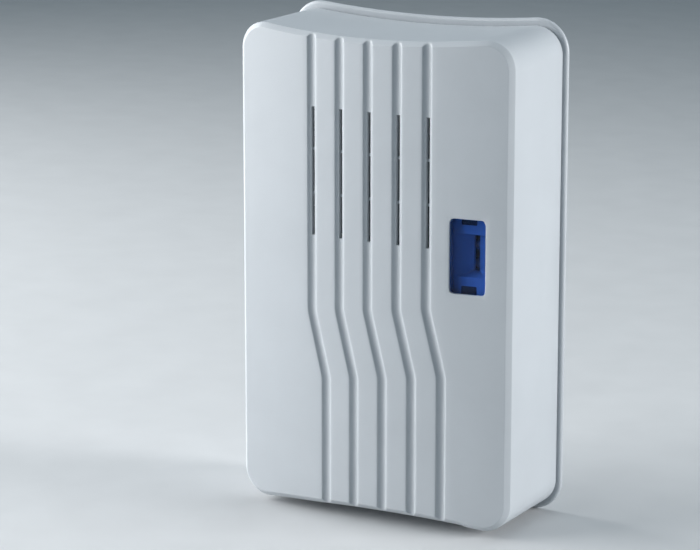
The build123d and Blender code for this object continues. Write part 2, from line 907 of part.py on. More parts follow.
with BuildPart() as speaker_surround:
    roll_inner = cone_rim_radius + seat_gap
    roll_outer = speaker_opening_radius - seat_gap
    roll_front_y = cone_rim_y - surround_rise
    spin_profile(
        (
            (roll_inner, cone_rim_y),
            (roll_inner + surround_crown, roll_front_y),
            (roll_outer - surround_crown, roll_front_y),
            (roll_outer, cone_rim_y),
            (roll_outer - surround_wall, cone_rim_y),
            (roll_outer - surround_crown, roll_front_y + surround_wall),
            (roll_inner + surround_crown, roll_front_y + surround_wall),
            (roll_inner + surround_wall, cone_rim_y),
        )
    )
speaker_surround.part.label = "speaker_surround"
export_step(speaker_surround.part, "parts/speaker_surround.step")


def cross_screw(x, z, seat_y, radius, length, head_radius, head_height, facing):
    """Pan screw with a cross recess. Facing is 1 with the head towards the wall, else -1."""
    head_y = seat_y + facing * head_height
    tip_y = seat_y - facing * length
    peg(x, z, head_radius, max(seat_y, head_y), min(seat_y, head_y))
    peg(x, z, radius, max(seat_y, tip_y), min(seat_y, tip_y))
    reach = 2 * head_radius * drive_reach_share
    recess_y = head_y - facing * drive_slot_depth
    for width, height in ((reach, drive_slot_width), (drive_slot_width, reach)):
        block(x, z, width, height, max(head_y, recess_y), min(head_y, recess_y), mode=Mode.SUBTRACT)


# Screws: four through the wall plate, four through the board, three beside the loudspeaker
with BuildPart() as case_screws:
    for x, z in case_screw_places:
        cross_screw(
            x,
            z,
            case_seat_y,
            case_screw_radius,
            case_screw_length,
            case_head_radius,
            case_head_height,
            1,
        )
case_screws.part.label = "case_screws"
export_step(case_screws.part, "parts/case_screws.step")

with BuildPart() as board_screws:
    for x, z in board_posts:
        cross_screw(
            x,
            z,
            board_front_y,
            board_screw_radius,
            board_screw_length,
            board_head_radius,
            board_head_height,
            -1,
        )
board_screws.part.label = "board_screws"
export_step(board_screws.part, "parts/board_screws.step")

with BuildPart() as speaker_washers:
    for x, z in speaker_post_places:
        peg(x, z, washer_radius, flange_back_y + washer_thickness, flange_back_y)
        bore = speaker_screw_radius + through_clearance
        peg(x, z, bore, flange_back_y + washer_thickness, flange_back_y, mode=Mode.SUBTRACT)
speaker_washers.part.label = "speaker_washers"
export_step(speaker_washers.part, "parts/speaker_washers.step")

with BuildPart() as speaker_screws:
    for x, z in speaker_post_places:
        cross_screw(
            x,
            z,
            flange_back_y + washer_thickness,
            speaker_screw_radius,
            speaker_screw_length,
            speaker_head_radius,
            speaker_head_height,
            1,
        )
speaker_screws.part.label = "speaker_screws"
export_step(speaker_screws.part, "parts/speaker_screws.step")

# Cells: the outer two stand nub up and the middle one nub down
cell_names = ("left", "middle", "right")
cell_base = tray_base_height + contact_thickness
for i, (name, x) in enumerate(zip(cell_names, cell_places)):
    nub_up = i % 2 == 0
    low = cell_base + (spring_height if nub_up else cell_nub_height)
    with BuildPart() as cell:
        with BuildSketch(Plane.XY.offset(low)):
            with Locations((x, cell_y)):
                Circle(cell_radius)
        extrude(amount=cell_length)
        chamfer(cell.edges().filter_by(GeomType.CIRCLE), cell_edge)
        with BuildSketch(Plane.XY.offset(low + cell_length if nub_up else cell_base)):
            with Locations((x, cell_y)):
                Circle(cell_nub_radius)
        extrude(amount=cell_nub_height)
    cell.part.label = f"cell_{name}"
    export_step(cell.part, f"parts/cell_{name}.step")


def contact_plate(x, width, z):
    """Flat contact plate in the tray, from height z upwards."""
    with BuildSketch(Plane.XY.offset(z)) as section:
        with Locations((x, cell_y)):
            Rectangle(width, contact_length)
    extrude(section.sketch, amount=contact_thickness)


# Contacts: single plates at the two ends of the chain, and a bridge at each turn of it
with BuildPart() as contact_plates:
    bridge_width = contact_width + cell_pitch
    top_plate_z = tray_top - contact_thickness
    contact_plate(cell_places[0], contact_width, top_plate_z)
    contact_plate((cell_places[1] + cell_places[2]) / 2, bridge_width, top_plate_z)
    contact_plate((cell_places[0] + cell_places[1]) / 2, bridge_width, tray_base_height)
    contact_plate(cell_places[2], contact_width, tray_base_height)
contact_plates.part.label = "contact_plates"
export_step(contact_plates.part, "parts/contact_plates.step")


def contact_spring(x, plate_z, rise):
    """Cone spring from its plate to the flat end of a cell: a chain of tangent quarter turns."""
    quarters = 4 * spring_turns
    climb = rise * (spring_height - spring_wire)

    def turn_point(i):
        share = i / quarters
        radius = spring_base_radius + (spring_tip_radius - spring_base_radius) * share
        angle = i * pi / 2
        return Vector(
            x + radius * cos(angle),
            cell_y + radius * sin(angle),
            plate_z + rise * spring_wire / 2 + climb * share,
        )

    start = turn_point(0)
    tangent = Vector(0, 2 * pi * spring_base_radius, climb / spring_turns).normalized()
    with BuildLine() as path:
        for i in range(1, quarters + 1):
            arc = TangentArc(start, turn_point(i), tangent=tangent)
            start = arc @ 1
            tangent = arc % 1
    with BuildSketch(Plane(path.wire() @ 0, z_dir=path.wire() % 0)) as wire:
        RegularPolygon(spring_wire / 2, spring_sides)
    sweep(wire.sketch, path=path.wire())


with BuildPart() as contact_springs:
    for i, x in enumerate(cell_places):
        if i % 2 == 0:
            contact_spring(x, cell_base, 1)
        else:
            contact_spring(x, tray_top - contact_thickness, -1)
contact_springs.part.label = "contact_springs"
export_step(contact_springs.part, "parts/contact_springs.step")

# Circuit board: a wide upper field with a leg down behind the lamp window
with BuildPart() as circuit_board:
    with BuildSketch(upright(board_back_y)) as outline:
        with BuildLine():
            Polyline(
                (board_left, board_low),
                (board_left, board_high),
                (board_right, board_high),
                (board_right, board_leg_low),
                (board_leg_left, board_leg_low),
                (board_leg_left, board_low),
                close=True,
            )
        make_face()
        fillet(outline.vertices(), board_corner)
        with Locations(*board_posts):
            Circle(board_screw_radius + through_clearance, mode=Mode.SUBTRACT)
    extrude(amount=board_thickness)
circuit_board.part.label = "circuit_board"
export_step(circuit_board.part, "parts/circuit_board.step")

# Parts on the front of the board
with BuildPart() as radio_receiver:
    x, z = receiver_at
    width, height = receiver_size
    back = board_front_y - receiver_gap
    front = back - receiver_board_thickness
    block(x, z, width, height, back, front)
    block(x, z, width - 2 * shield_inset, height - 2 * shield_inset, front, front - shield_height)
    pin_z = z - height / 2 + shield_inset
    block(x, pin_z, width - 2 * shield_inset, lamp_lead, board_front_y, back)
radio_receiver.part.label = "radio_receiver"
export_step(radio_receiver.part, "parts/radio_receiver.step")

with BuildPart() as melody_chip:
    x, z = chip_at
    width, height = chip_size
    leg_y = board_front_y - chip_height * chip_leg_lift_share
    block(x, z, width, height, board_front_y - seat_gap, board_front_y - chip_height)
    for i in range(chip_leg_count):
        row_z = z + (i - (chip_leg_count - 1) / 2) * chip_leg_pitch
        block(x, row_z, width + 2 * chip_leg_reach, chip_leg_width, board_front_y, leg_y)
melody_chip.part.label = "melody_chip"
export_step(melody_chip.part, "parts/melody_chip.step")

with BuildPart() as capacitor:
    x, z = capacitor_at
    peg(x, z, capacitor_radius, board_front_y, board_front_y - capacitor_height)
    groove_y = board_front_y - 2 * capacitor_crimp
    with BuildSketch(upright(groove_y)):
        with Locations((x, z)):
            Circle(capacitor_radius + overrun)
            Circle(capacitor_radius - capacitor_crimp, mode=Mode.SUBTRACT)
    extrude(amount=2 * capacitor_crimp, mode=Mode.SUBTRACT)
capacitor.part.label = "capacitor"
export_step(capacitor.part, "parts/capacitor.step")

with BuildPart() as crystal:
    x, z = crystal_at
    with BuildSketch(upright(board_front_y)):
        with Locations((x, z)):
            SlotOverall(*crystal_size)
    extrude(amount=crystal_height)
crystal.part.label = "crystal"
export_step(crystal.part, "parts/crystal.step")

with BuildPart() as antenna:
    x, z = antenna_at
    with BuildLine() as path:
        FilletPolyline(
            (x, board_front_y, z),
            (x, board_front_y - antenna_stand, z),
            (x, board_front_y - antenna_stand, z + antenna_length),
            radius=antenna_bend,
        )
    with BuildSketch(upright(board_front_y)):
        with Locations((x, z)):
            Circle(antenna_wire / 2)
    sweep()
antenna.part.label = "antenna"
export_step(antenna.part, "parts/antenna.step")

for name, (x, z) in (("speaker_socket", speaker_socket_at), ("battery_socket", battery_socket_at)):
    with BuildPart() as socket:
        width, height = socket_size
        socket_front_y = board_front_y - socket_height
        block(x, z, width, height, board_front_y, socket_front_y)
        mouth_width = width - 2 * socket_wall
        mouth_height = height - 2 * socket_wall
        mouth_y = board_front_y - socket_wall
        block(x, z, mouth_width, mouth_height, mouth_y, socket_front_y, mode=Mode.SUBTRACT)
        for side in (-1, 1):
            pin_x = x + side * socket_pin_pitch / 2
            block(pin_x, z, lamp_lead, lamp_lead, mouth_y, mouth_y - socket_pin_length)
    socket.part.label = name
    export_step(socket.part, f"parts/{name}.step")

# Melody key: a dished cap with a flange behind the plate and a stem down to its switch
tact_front_y = board_back_y + tact_height
plunger_end_y = tact_front_y + plunger_stand
key_top_y = wall_y - key_recess
key_flange_y = plate_y - moving_clearance
key_floor_y = key_flange_y - key_flange_thickness

with BuildPart() as tact_switch:
    block(melody_x, control_height, tact_size, tact_size, tact_front_y, board_back_y)
    bore = plunger_radius + hinge_clearance
    peg(melody_x, control_height, bore, tact_front_y + overrun, tact_front_y - plunger_seat, mode=Mode.SUBTRACT)
tact_switch.part.label = "tact_switch"
export_step(tact_switch.part, "parts/tact_switch.step")

with BuildPart() as tact_plunger:
    plunger_base_y = tact_front_y - plunger_seat + key_travel + moving_clearance
    peg(melody_x, control_height, plunger_radius, plunger_end_y, plunger_base_y)
tact_plunger.part.label = "tact_plunger"
export_step(tact_plunger.part, "parts/tact_plunger.step")

with BuildPart() as melody_key:
    peg(melody_x, control_height, key_radius, key_top_y, key_floor_y)
    peg(melody_x, control_height, key_flange_radius, key_flange_y, key_floor_y)
    peg(melody_x, control_height, key_stem_radius, key_floor_y, plunger_end_y)
    dish_radius = (key_radius**2 + key_dish**2) / (2 * key_dish)
    with Locations((melody_x, key_top_y - key_dish + dish_radius, control_height)):
        Sphere(dish_radius, mode=Mode.SUBTRACT)
melody_key.part.label = "melody_key"
export_step(melody_key.part, "parts/melody_key.step")

# Volume knob: a ribbed knob in its slot, a flange behind the plate and a fork on the lever
slider_front_y = board_back_y + slider_body_thickness
lever_end_y = slider_front_y + lever_stand
knob_top_y = wall_y - knob_recess
knob_floor_y = slider_front_y + moving_clearance
knob_flange_y = plate_y - moving_clearance
lever_slot_width = lever_width + 2 * (knob_travel + moving_clearance)

with BuildPart() as slide_switch:
    block(volume_x, control_height, slider_body_width, slider_body_height, slider_front_y, board_back_y)
    block(
        volume_x,
        control_height,
        lever_slot_width,
        lever_width + 2 * moving_clearance,
        slider_front_y,
        slider_front_y - lever_seat - moving_clearance,
        mode=Mode.SUBTRACT,
    )
slide_switch.part.label = "slide_switch"
export_step(slide_switch.part, "parts/slide_switch.step")

with BuildPart() as slide_lever:
    block(volume_x, control_height, lever_width, lever_width, lever_end_y, slider_front_y - lever_seat)
slide_lever.part.label = "slide_lever"
export_step(slide_lever.part, "parts/slide_lever.step")

with BuildPart() as volume_knob:
    block(volume_x, control_height, knob_width, knob_height, knob_top_y, knob_floor_y)
    block(
        volume_x,
        control_height,
        knob_flange_width,
        knob_flange_height,
        knob_flange_y,
        knob_flange_y - knob_flange_thickness,
    )
    socket_width = lever_width + 2 * lever_fit
    block(volume_x, control_height, socket_width, socket_width, lever_end_y, knob_floor_y, mode=Mode.SUBTRACT)
    with BuildSketch(upright(knob_top_y)):
        with Locations((volume_x, control_height)):
            with GridLocations(knob_width / (knob_grip_count + 1), knob_height, knob_grip_count, 1):
                Rectangle(knob_grip_width, knob_height)
    extrude(amount=knob_grip_depth, mode=Mode.SUBTRACT)
volume_knob.part.label = "volume_knob"
export_step(volume_knob.part, "parts/volume_knob.step")
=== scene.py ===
import json
from math import atan, cos, pi, radians, sin, sqrt, tan

import bmesh
import bpy
from mathutils import Matrix, Vector
from mathutils.kdtree import KDTree


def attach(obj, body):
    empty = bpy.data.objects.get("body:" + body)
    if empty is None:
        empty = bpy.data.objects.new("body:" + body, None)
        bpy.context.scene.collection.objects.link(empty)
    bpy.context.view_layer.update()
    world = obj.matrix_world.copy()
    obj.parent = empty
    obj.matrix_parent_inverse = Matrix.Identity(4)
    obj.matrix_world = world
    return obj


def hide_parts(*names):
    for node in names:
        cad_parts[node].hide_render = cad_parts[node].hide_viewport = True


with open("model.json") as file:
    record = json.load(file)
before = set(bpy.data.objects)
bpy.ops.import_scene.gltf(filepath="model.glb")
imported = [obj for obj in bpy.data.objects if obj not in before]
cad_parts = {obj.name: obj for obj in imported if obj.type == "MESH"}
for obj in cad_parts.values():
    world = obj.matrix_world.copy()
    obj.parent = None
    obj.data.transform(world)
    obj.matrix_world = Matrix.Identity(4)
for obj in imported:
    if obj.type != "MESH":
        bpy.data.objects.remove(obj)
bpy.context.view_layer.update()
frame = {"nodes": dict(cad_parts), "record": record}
nodes = frame["nodes"]
scene = bpy.context.scene

# Sizes in millimetres, as in the CAD model. MM turns them into metres when a mesh is made.
MM = 0.001
HOUSING_WIDTH = 84.2
HOUSING_HEIGHT = 138.0
HOUSING_BASE = 1.039
HOUSING_TOP = HOUSING_BASE + HOUSING_HEIGHT
TOP_DIP = 2.9
BASE_RISE = 2.7
CORNER = 7.8
FRONT_BOW = 3.4
FRONT_Y = -17.85
SEAM_Y = 16.15
WALL_Y = 17.85
SHELL_WALL = 2.2
HALF_WIDTH = HOUSING_WIDTH / 2
BOW_RADIUS = (HALF_WIDTH**2 + FRONT_BOW**2) / (2 * FRONT_BOW)

# Rim of the back plate: its edges' round in the CAD model, and the rounds that they get here
RIM_FRONT_Y = 16.65
RIM_ROUND = 0.5
RIM_FRONT_ROUND = 0.95
RIM_REAR_ROUND = 0.2
RIM_PROUD = 0.3
RIM_SLACK = 0.03

# The grooves of the front, each with one step to the right
GROOVE_PLACES = (-17.8, -8.9, 0.0, 8.9, 17.8)
GROOVE_HALF = 1.65
GROOVE_DEPTH = 0.95
LIP_ROUND = 0.5
JOG_SHIFT = 4.6
JOG_LENGTH = 18.6
JOG_MIDDLE = 50.7
JOG_TOP = HOUSING_BASE + JOG_MIDDLE + JOG_LENGTH / 2
JOG_BEND = 8.0
JOG_ANGLE = atan(JOG_SHIFT / JOG_LENGTH)
BEND_RISE = tan(JOG_ANGLE / 2)
BEND_REACH = JOG_BEND * BEND_RISE
BEND_SPAN = JOG_BEND * sin(JOG_ANGLE)

# Sound slots in the floors of the grooves, three in a row with bridges between them. A bridge's
# middle lies BRIDGE_SEAT in front of the inner skin.
SOUND_Z = HOUSING_TOP - 40.9
SLOT_HALF = 0.5
SLOT_RUN = 36.0
SLOT_BRIDGE = 0.8
SLOT_PITCH = (SLOT_RUN + SLOT_BRIDGE) / 3
BRIDGE_FRONT = 0.25
BRIDGE_BACK = 0.3
BRIDGE_ROUND = 0.1
BRIDGE_SEAT = 0.35

# Lamp window and its lens, whose edge is (inset, depth behind the face)
WINDOW_X = 29.7
WINDOW_Z = HOUSING_BASE + 77.9
WINDOW_HALF = (5.15, 10.4)
WINDOW_CORNER = 1.2
WINDOW_LIP = 0.22
LENS_HALF = (5.05, 10.3)
LENS_CORNER = 1.1
LENS_FLANGE_FRONT = SHELL_WALL + 0.05
LENS_EDGE = ((0.25, 0.25), (0.08, 0.27), (0.0, 0.36), (0.0, LENS_FLANGE_FRONT))
LENS_BACK = LENS_FLANGE_FRONT + 0.8
FLANGE_HALF = (6.55, 11.8)
FLANGE_CORNER = 0.4

# Light box: its mouth behind the lens, the lamp slot in its back wall, the shroud and the legs
BOX_FRONT = LENS_BACK + 0.05
MOUTH_HALF = (4.6, 5.95)
MOUTH_CORNER = 0.8
LIGHT_WALL_Y = -10.163
LIGHT_WALL_BACK = LIGHT_WALL_Y + 1.0
LAMP_SLOT = (WINDOW_X + 0.4, WINDOW_Z + 0.3)
LAMP_SLOT_HALF = (0.85, 4.85)
LAMP_SLOT_CORNER = 0.15
SHROUD_INNER = (2.3, 5.2)
SHROUD_OUTER = (3.3, 5.8)
SHROUD_INNER_CORNER = 0.4
SHROUD_OUTER_CORNER = 0.8
SHROUD_BACK = LIGHT_WALL_Y + 4.2
LEG_HALF = 1.0
LEG_CORNER = 0.3
LEG_SINK = 0.1
BOARD_FRONT_Y = 2.55

# Clips of the lens, one above and one below: (inset, depth behind the face) from front to back
CLIP_HALF = (2.3, 1.7)
CLIP_CORNER = 0.3
CLIP_X = WINDOW_X - 0.5
CLIP_REACH = 10.0
CLIP_EDGE = ((0.15, BOX_FRONT - 0.04), (0.0, BOX_FRONT + 0.1), (0.0, BOX_FRONT + 1.2))

# Screw places as (x, y, z, turn about x, turn about z) in millimetres and degrees
CASE_SCREW_X = 34.0
CASE_SCREW_Y = 14.05
CASE_SCREW_INSET = 11.0
CASE_SCREWS = [
    (x, CASE_SCREW_Y, z, 0, 0)
    for x in (-CASE_SCREW_X, CASE_SCREW_X)
    for z in (HOUSING_BASE + CASE_SCREW_INSET, HOUSING_TOP - CASE_SCREW_INSET)
]
BOARD_SCREW_X = 32.5
BOARD_SCREW_INSET = 4.5
BOARD_HIGH = HOUSING_TOP - 18.0
BOARD_LOW = 72.0
BOARD_LEG_LOW = HOUSING_BASE + 58.6
BOARD_SCREWS = [(x, BOARD_FRONT_Y, z, 0, 180) for x, z in (
    (-BOARD_SCREW_X, BOARD_HIGH - BOARD_SCREW_INSET), (BOARD_SCREW_X, BOARD_HIGH - BOARD_SCREW_INSET),
    (-BOARD_SCREW_X, BOARD_LOW + BOARD_SCREW_INSET), (BOARD_SCREW_X, BOARD_LEG_LOW + BOARD_SCREW_INSET),
)]
SPEAKER_Z = HOUSING_TOP - 41.7
SPEAKER_SCREW_RADIUS = 23.4
SPEAKER_SCREW_Y = -10.176
SPEAKER_SCREW_ANGLES = (-90, 145, 35)
SPEAKER_SCREWS = []
for a in SPEAKER_SCREW_ANGLES:
    across, up = SPEAKER_SCREW_RADIUS * cos(radians(a)), SPEAKER_SCREW_RADIUS * sin(radians(a))
    SPEAKER_SCREWS.append((across, SPEAKER_SCREW_Y, SPEAKER_Z + up, 0, 0))

# Screw sizes: head radius, head height, shank radius and length under the head
CASE_SCREW_SIZES = (2.8, 2.0, 1.5, 10.0)
BOARD_SCREW_SIZES = (2.2, 1.4, 1.1, 6.0)
SPEAKER_SCREW_SIZES = (2.2, 1.4, 1.1, 5.0)

# Shape of every screw: thread, dome, tip and cross recess
THREAD_PITCH = 0.9
THREAD_START = 0.3
THREAD_RISE = 0.25
ROOT_SHARE = 0.8
TIP_SHARE = 0.7
DOME_SHARE = 0.65
DOME_TURNS = (20, 38, 54, 68, 80, 90)
SCREW_SIDES = 20
SCREW_SHARP_ANGLE = 38
CROSS_REACH_SHARE = 0.6
CROSS_HALF_SHARE = 0.13
CROSS_TAPER_SHARE = 0.75
CROSS_FLOOR_SHARE = 0.45
CROSS_CORNER_SHARES = (0.2, 0.15)
CROSS_OVERSHOOT = 1.0

# Battery bay: the cells stand between two rows of contacts, and the middle spring hangs
CELL_PITCH = 15.0
CELL_Y = 7.95
LOWER_CONTACT = 11.5
UPPER_CONTACT = 67.0
SPRINGS = (
    (-CELL_PITCH, CELL_Y, LOWER_CONTACT, 0, 0),
    (0.0, CELL_Y, UPPER_CONTACT, 180, 0),
    (CELL_PITCH, CELL_Y, LOWER_CONTACT, 0, 0),
)
SPRING_TURNS = 3.0
SPRING_BASE_RADIUS = 4.2
SPRING_TIP_RADIUS = 2.7
SPRING_HEIGHT = 4.2
WIRE_RADIUS = 0.38
WIRE_SIDES = 10
TURN_STEPS = 24
SPRING_LIFT = 0.4
CELL_BARE_SHARES = (0.085, 0.905)

# Rounded chamfer of the front edge: inset from the outline and drop behind the face
EDGE_PROFILE = (
    (1.45, 0.0), (1.38, 0.005), (1.32, 0.03), (1.26, 0.075), (0.95, 0.385), (0.67, 0.67),
    (0.385, 0.95), (0.075, 1.26), (0.03, 1.32), (0.005, 1.38), (0.0, 1.45),
)
FACE_INSET = EDGE_PROFILE[0][0]

# Side walls as (inset, y): back to the seam, round the rear edge and forward on the inside
WALL_PROFILE = (
    (0.0, -6.0), (0.0, 4.0), (0.0, SEAM_Y - 0.25), (0.07, SEAM_Y - 0.07), (0.25, SEAM_Y),
    (SHELL_WALL, SEAM_Y), (SHELL_WALL, 0.0),
)

# Edge of the window as (growth of the opening, depth behind the face)
WINDOW_EDGE = ((WINDOW_LIP, 0.0), (0.11, 0.03), (0.03, 0.11), (0.0, WINDOW_LIP), (0.0, SHELL_WALL))


def bow_y(x):
    """Depth of the bowed front at distance x from the middle."""
    return FRONT_Y + BOW_RADIUS - sqrt(BOW_RADIUS**2 - x * x)


def ramp(value, low, high):
    """0 below low, 1 above high, and a straight line between them."""
    return min(max((value - low) / (high - low), 0.0), 1.0)


def smooth(value, low, high):
    """0 below low, 1 above high, and an even S between them."""
    share = ramp(value, low, high)
    return share * share * (3 - 2 * share)


# Outline of the housing: two hollow arcs, two straight sides and four round corners
CORNER_X = HALF_WIDTH - CORNER
TOP_RADIUS = (HALF_WIDTH**2 + TOP_DIP**2) / (2 * TOP_DIP)
TOP_CENTRE = HOUSING_TOP - TOP_DIP + TOP_RADIUS
TOP_CORNER = TOP_CENTRE - sqrt((TOP_RADIUS + CORNER) ** 2 - CORNER_X**2)
BASE_RADIUS = (HALF_WIDTH**2 + BASE_RISE**2) / (2 * BASE_RISE)
BASE_CENTRE = HOUSING_BASE + BASE_RISE - BASE_RADIUS
BASE_CORNER = BASE_CENTRE + sqrt((BASE_RADIUS + CORNER) ** 2 - CORNER_X**2)
TOP_ARC = (TOP_RADIUS, TOP_CENTRE, TOP_CORNER, 1)
BASE_ARC = (BASE_RADIUS, BASE_CENTRE, BASE_CORNER, -1)


def outline_edge(x, inset, upper):
    """Height of the outline at x, set in by inset, and its outward normal there."""
    arc_radius, centre, corner, sign = TOP_ARC if upper else BASE_ARC
    radius = arc_radius + inset
    tangent_x = CORNER_X * radius / (arc_radius + CORNER)
    if abs(x) <= tangent_x:
        z = centre - sign * sqrt(radius**2 - x * x)
        return z, Vector((-x, centre - z)).normalized()
    reach = abs(x) - CORNER_X
    rise = sqrt(max((CORNER - inset) ** 2 - reach**2, 0.0))
    side = 1 if x > 0 else -1
    return corner + sign * rise, Vector((side * reach, sign * rise)).normalized()


def jog(w):
    """Sideways shift of a groove at height w above its upper bend line."""
    if w >= BEND_REACH:
        return 0.0
    if w <= -JOG_LENGTH - BEND_REACH:
        return JOG_SHIFT
    if w > BEND_REACH - BEND_SPAN:
        return JOG_BEND - sqrt(JOG_BEND**2 - (BEND_REACH - w) ** 2)
    if w < -JOG_LENGTH - BEND_REACH + BEND_SPAN:
        rise = w + JOG_LENGTH + BEND_REACH
        return JOG_SHIFT - JOG_BEND + sqrt(JOG_BEND**2 - rise**2)
    return -w * tan(JOG_ANGLE)


# Columns of the front's grid: (place across, depth of the groove there)
GROOVE_SLOPE = 2 * atan(GROOVE_DEPTH / GROOVE_HALF)
COVE_ROUND = GROOVE_HALF / sin(GROOVE_SLOPE) - LIP_ROUND
LIP_SHARES = (0.0, 0.3, 0.6)
COVE_SHARES = (1.0, 0.8, 0.6, 0.4)
groove_section = [
    (GROOVE_HALF - LIP_ROUND * sin(GROOVE_SLOPE * share), LIP_ROUND * (1 - cos(GROOVE_SLOPE * share)))
    for share in LIP_SHARES
] + [
    (COVE_ROUND * sin(GROOVE_SLOPE * share), GROOVE_DEPTH - COVE_ROUND * (1 - cos(GROOVE_SLOPE * share)))
    for share in COVE_SHARES
] + [
    (part, GROOVE_DEPTH - COVE_ROUND + sqrt(COVE_ROUND**2 - part**2)) for part in (SLOT_HALF, SLOT_HALF / 2)
]
RIB_PARTS = (-2.0, -0.7, 0.7, 2.0)
SIDE_COLUMNS = (20.9, 22.0, 23.2, 25.9, 27.8, 29.7, 31.4)
CORNER_TURNS = (0, 10, 20, 30, 40, 50, 60, 68, 75, 81, 86, 90)
GROOVE_ZONE = 21.5
STEP_FADE = (21.5, 31.4)


def front_columns(inset):
    """Places of the columns from left to right, each with its groove depth."""
    half = [(u, 0.0) for u in SIDE_COLUMNS]
    half += [(CORNER_X + (CORNER - inset) * sin(radians(a)), 0.0) for a in CORNER_TURNS]
    columns = [(-u, g) for u, g in reversed(half)]
    for i, place in enumerate(GROOVE_PLACES):
        if i:
            middle = (place + GROOVE_PLACES[i - 1]) / 2
            columns += [(middle + part, 0.0) for part in RIB_PARTS]
        columns += [(place - part, g) for part, g in groove_section]
        columns += [(place, GROOVE_DEPTH)]
        columns += [(place + part, g) for part, g in reversed(groove_section)]
    return columns + half


# Rows of the grid: heights at the middle of the front, where it follows no bend or arc
BEND_SHARES = (0.0, 0.25, 0.5, 0.75, 1.0)
slot_edges = []
for i in (-1, 0, 1):
    middle = SOUND_Z + i * SLOT_PITCH
    slot_edges += [middle - (SLOT_PITCH - SLOT_BRIDGE) / 2, middle + (SLOT_PITCH - SLOT_BRIDGE) / 2]
BASE_ROW, BASE_FADE = 4.6, 23.0
TOP_FADE, TOP_ROW = 117.0, 137.0
WINDOW_LOW_ROW = 64.0
rows = [BASE_ROW, 5.1, 5.8, 6.8, 8.2, 10.2, 12.8, 16, 19.5, BASE_FADE, 27, 31, 35, 38.5]
rows += [JOG_TOP - JOG_LENGTH - BEND_REACH + share * BEND_SPAN for share in BEND_SHARES]
rows += [46.0, 49.8, 53.6, 57.4]
rows += [JOG_TOP + BEND_REACH - share * BEND_SPAN for share in reversed(BEND_SHARES)]
rows += [WINDOW_LOW_ROW, 66.0, 68.5, 71.0, 73.5, 76.0, 78.2]
rows += [slot_edges[0], 82.0, 85.0, 88.0, slot_edges[1], slot_edges[2], 94.5, 97.5, 100.5, slot_edges[3]]
rows += [slot_edges[4], 107.0, 110.0, 113.0, slot_edges[5]]
rows += [TOP_FADE, 120, 123, 126, 129, 131.5, 133.5, 135.0, 136.0, 136.6, TOP_ROW]
WINDOW_ROWS = (rows.index(WINDOW_LOW_ROW), rows.index(slot_edges[1]))
WINDOW_COLUMNS = (23.2, 36.5)
CORNER_NEAR = 0.05
FRONT_FACING = (0.8, 0.95)
SLANT_ROWS = (24.0, 39.0, 64.0, 78.2)


def front_sheet(inset, depth_of):
    """Grid of points of the front or of the skin behind it: sheet[row][column]."""
    columns = front_columns(inset)
    sheet = []
    for height in rows:
        slant = smooth(height, *SLANT_ROWS[:2]) * (1 - smooth(height, *SLANT_ROWS[2:]))
        line = []
        for u, groove in columns:
            held = min(max(u, -GROOVE_ZONE), GROOVE_ZONE)
            fade = 1 - smooth(abs(u), *STEP_FADE)
            x = u + jog(height - JOG_TOP) * fade
            z = height + BEND_RISE * held * slant
            low, _ = outline_edge(u, inset, False)
            high, _ = outline_edge(u, inset, True)
            z += (low - BASE_ROW) * (1 - ramp(height, BASE_ROW, BASE_FADE))
            z += (high - TOP_ROW) * ramp(height, TOP_FADE, TOP_ROW)
            line.append(Vector((x, bow_y(x) + depth_of(u, groove), z)))
        sheet.append(line)
    return sheet


def new_mesh_object(name, points, faces):
    """Object with a mesh from points in millimetres."""
    mesh = bpy.data.meshes.new(name)
    mesh.from_pydata([Vector(p) * MM for p in points], [], faces)
    piece = bpy.data.objects.new(name, mesh)
    scene.collection.objects.link(piece)
    return piece


def settle(piece, angle=32):
    """Merges, turns the faces outwards and shades them smooth, with sharp edges kept."""
    mesh = piece.data
    solid = bmesh.new()
    solid.from_mesh(mesh)
    bmesh.ops.remove_doubles(solid, verts=solid.verts, dist=1e-7)
    bmesh.ops.recalc_face_normals(solid, faces=solid.faces)
    solid.to_mesh(mesh)
    solid.free()
    mesh.shade_smooth()
    mesh.set_sharp_from_angle(angle=radians(angle))


class ShellMesh:
    """Points and faces of a shell between the grid of the face and the grid of the skin."""

    def __init__(self, outer, inner):
        self.skins = {"outer": outer, "inner": inner}
        self.points = []
        self.faces = []
        self.numbers = {}

    def vertex(self, skin, i, j):
        """Number of a grid point, which is added when it is first asked for."""
        key = (skin, i, j)
        if key not in self.numbers:
            self.numbers[key] = len(self.points)
            self.points.append(self.skins[skin][i][j])
        return self.numbers[key]

    def loop(self, skin, places):
        """Numbers of the grid points at a list of places."""
        return [self.vertex(skin, i, j) for i, j in places]

    def bridge(self, near, far):
        """Band of faces between two rings of as many points."""
        for k in range(len(near)):
            after = (k + 1) % len(near)
            self.faces.append((near[k], near[after], far[after], far[k]))

    def run_through(self, places, rings):
        """Bands from a loop of the face through the rings to the same loop of the skin."""
        before = self.loop("outer", places)
        for ring in rings:
            start = len(self.points)
            self.points.extend(ring)
            numbers = list(range(start, len(self.points)))
            self.bridge(before, numbers)
            before = numbers
        self.bridge(before, self.loop("inner", places))


def grid_loop(low, high, left, right):
    """Places round a block of the grid, from its upper left corner and back to it."""
    loop = [(high, j) for j in range(left, right)]
    loop += [(i, right) for i in range(high, low, -1)]
    loop += [(low, j) for j in range(right, left, -1)]
    loop += [(i, left) for i in range(low, high)]
    return loop


def nearest_column(columns, x):
    """Number of the column nearest to x."""
    return min(range(len(columns)), key=lambda j: abs(columns[j][0] - x))


def slot_cells(columns):
    """Cells of the grid that the sound slots leave open."""
    cells = set()
    for place in GROOVE_PLACES:
        left = nearest_column(columns, place - SLOT_HALF)
        right = nearest_column(columns, place + SLOT_HALF)
        for i in range(rows.index(slot_edges[0]), rows.index(slot_edges[-1])):
            cells.update((i, j) for j in range(left, right))
    return cells


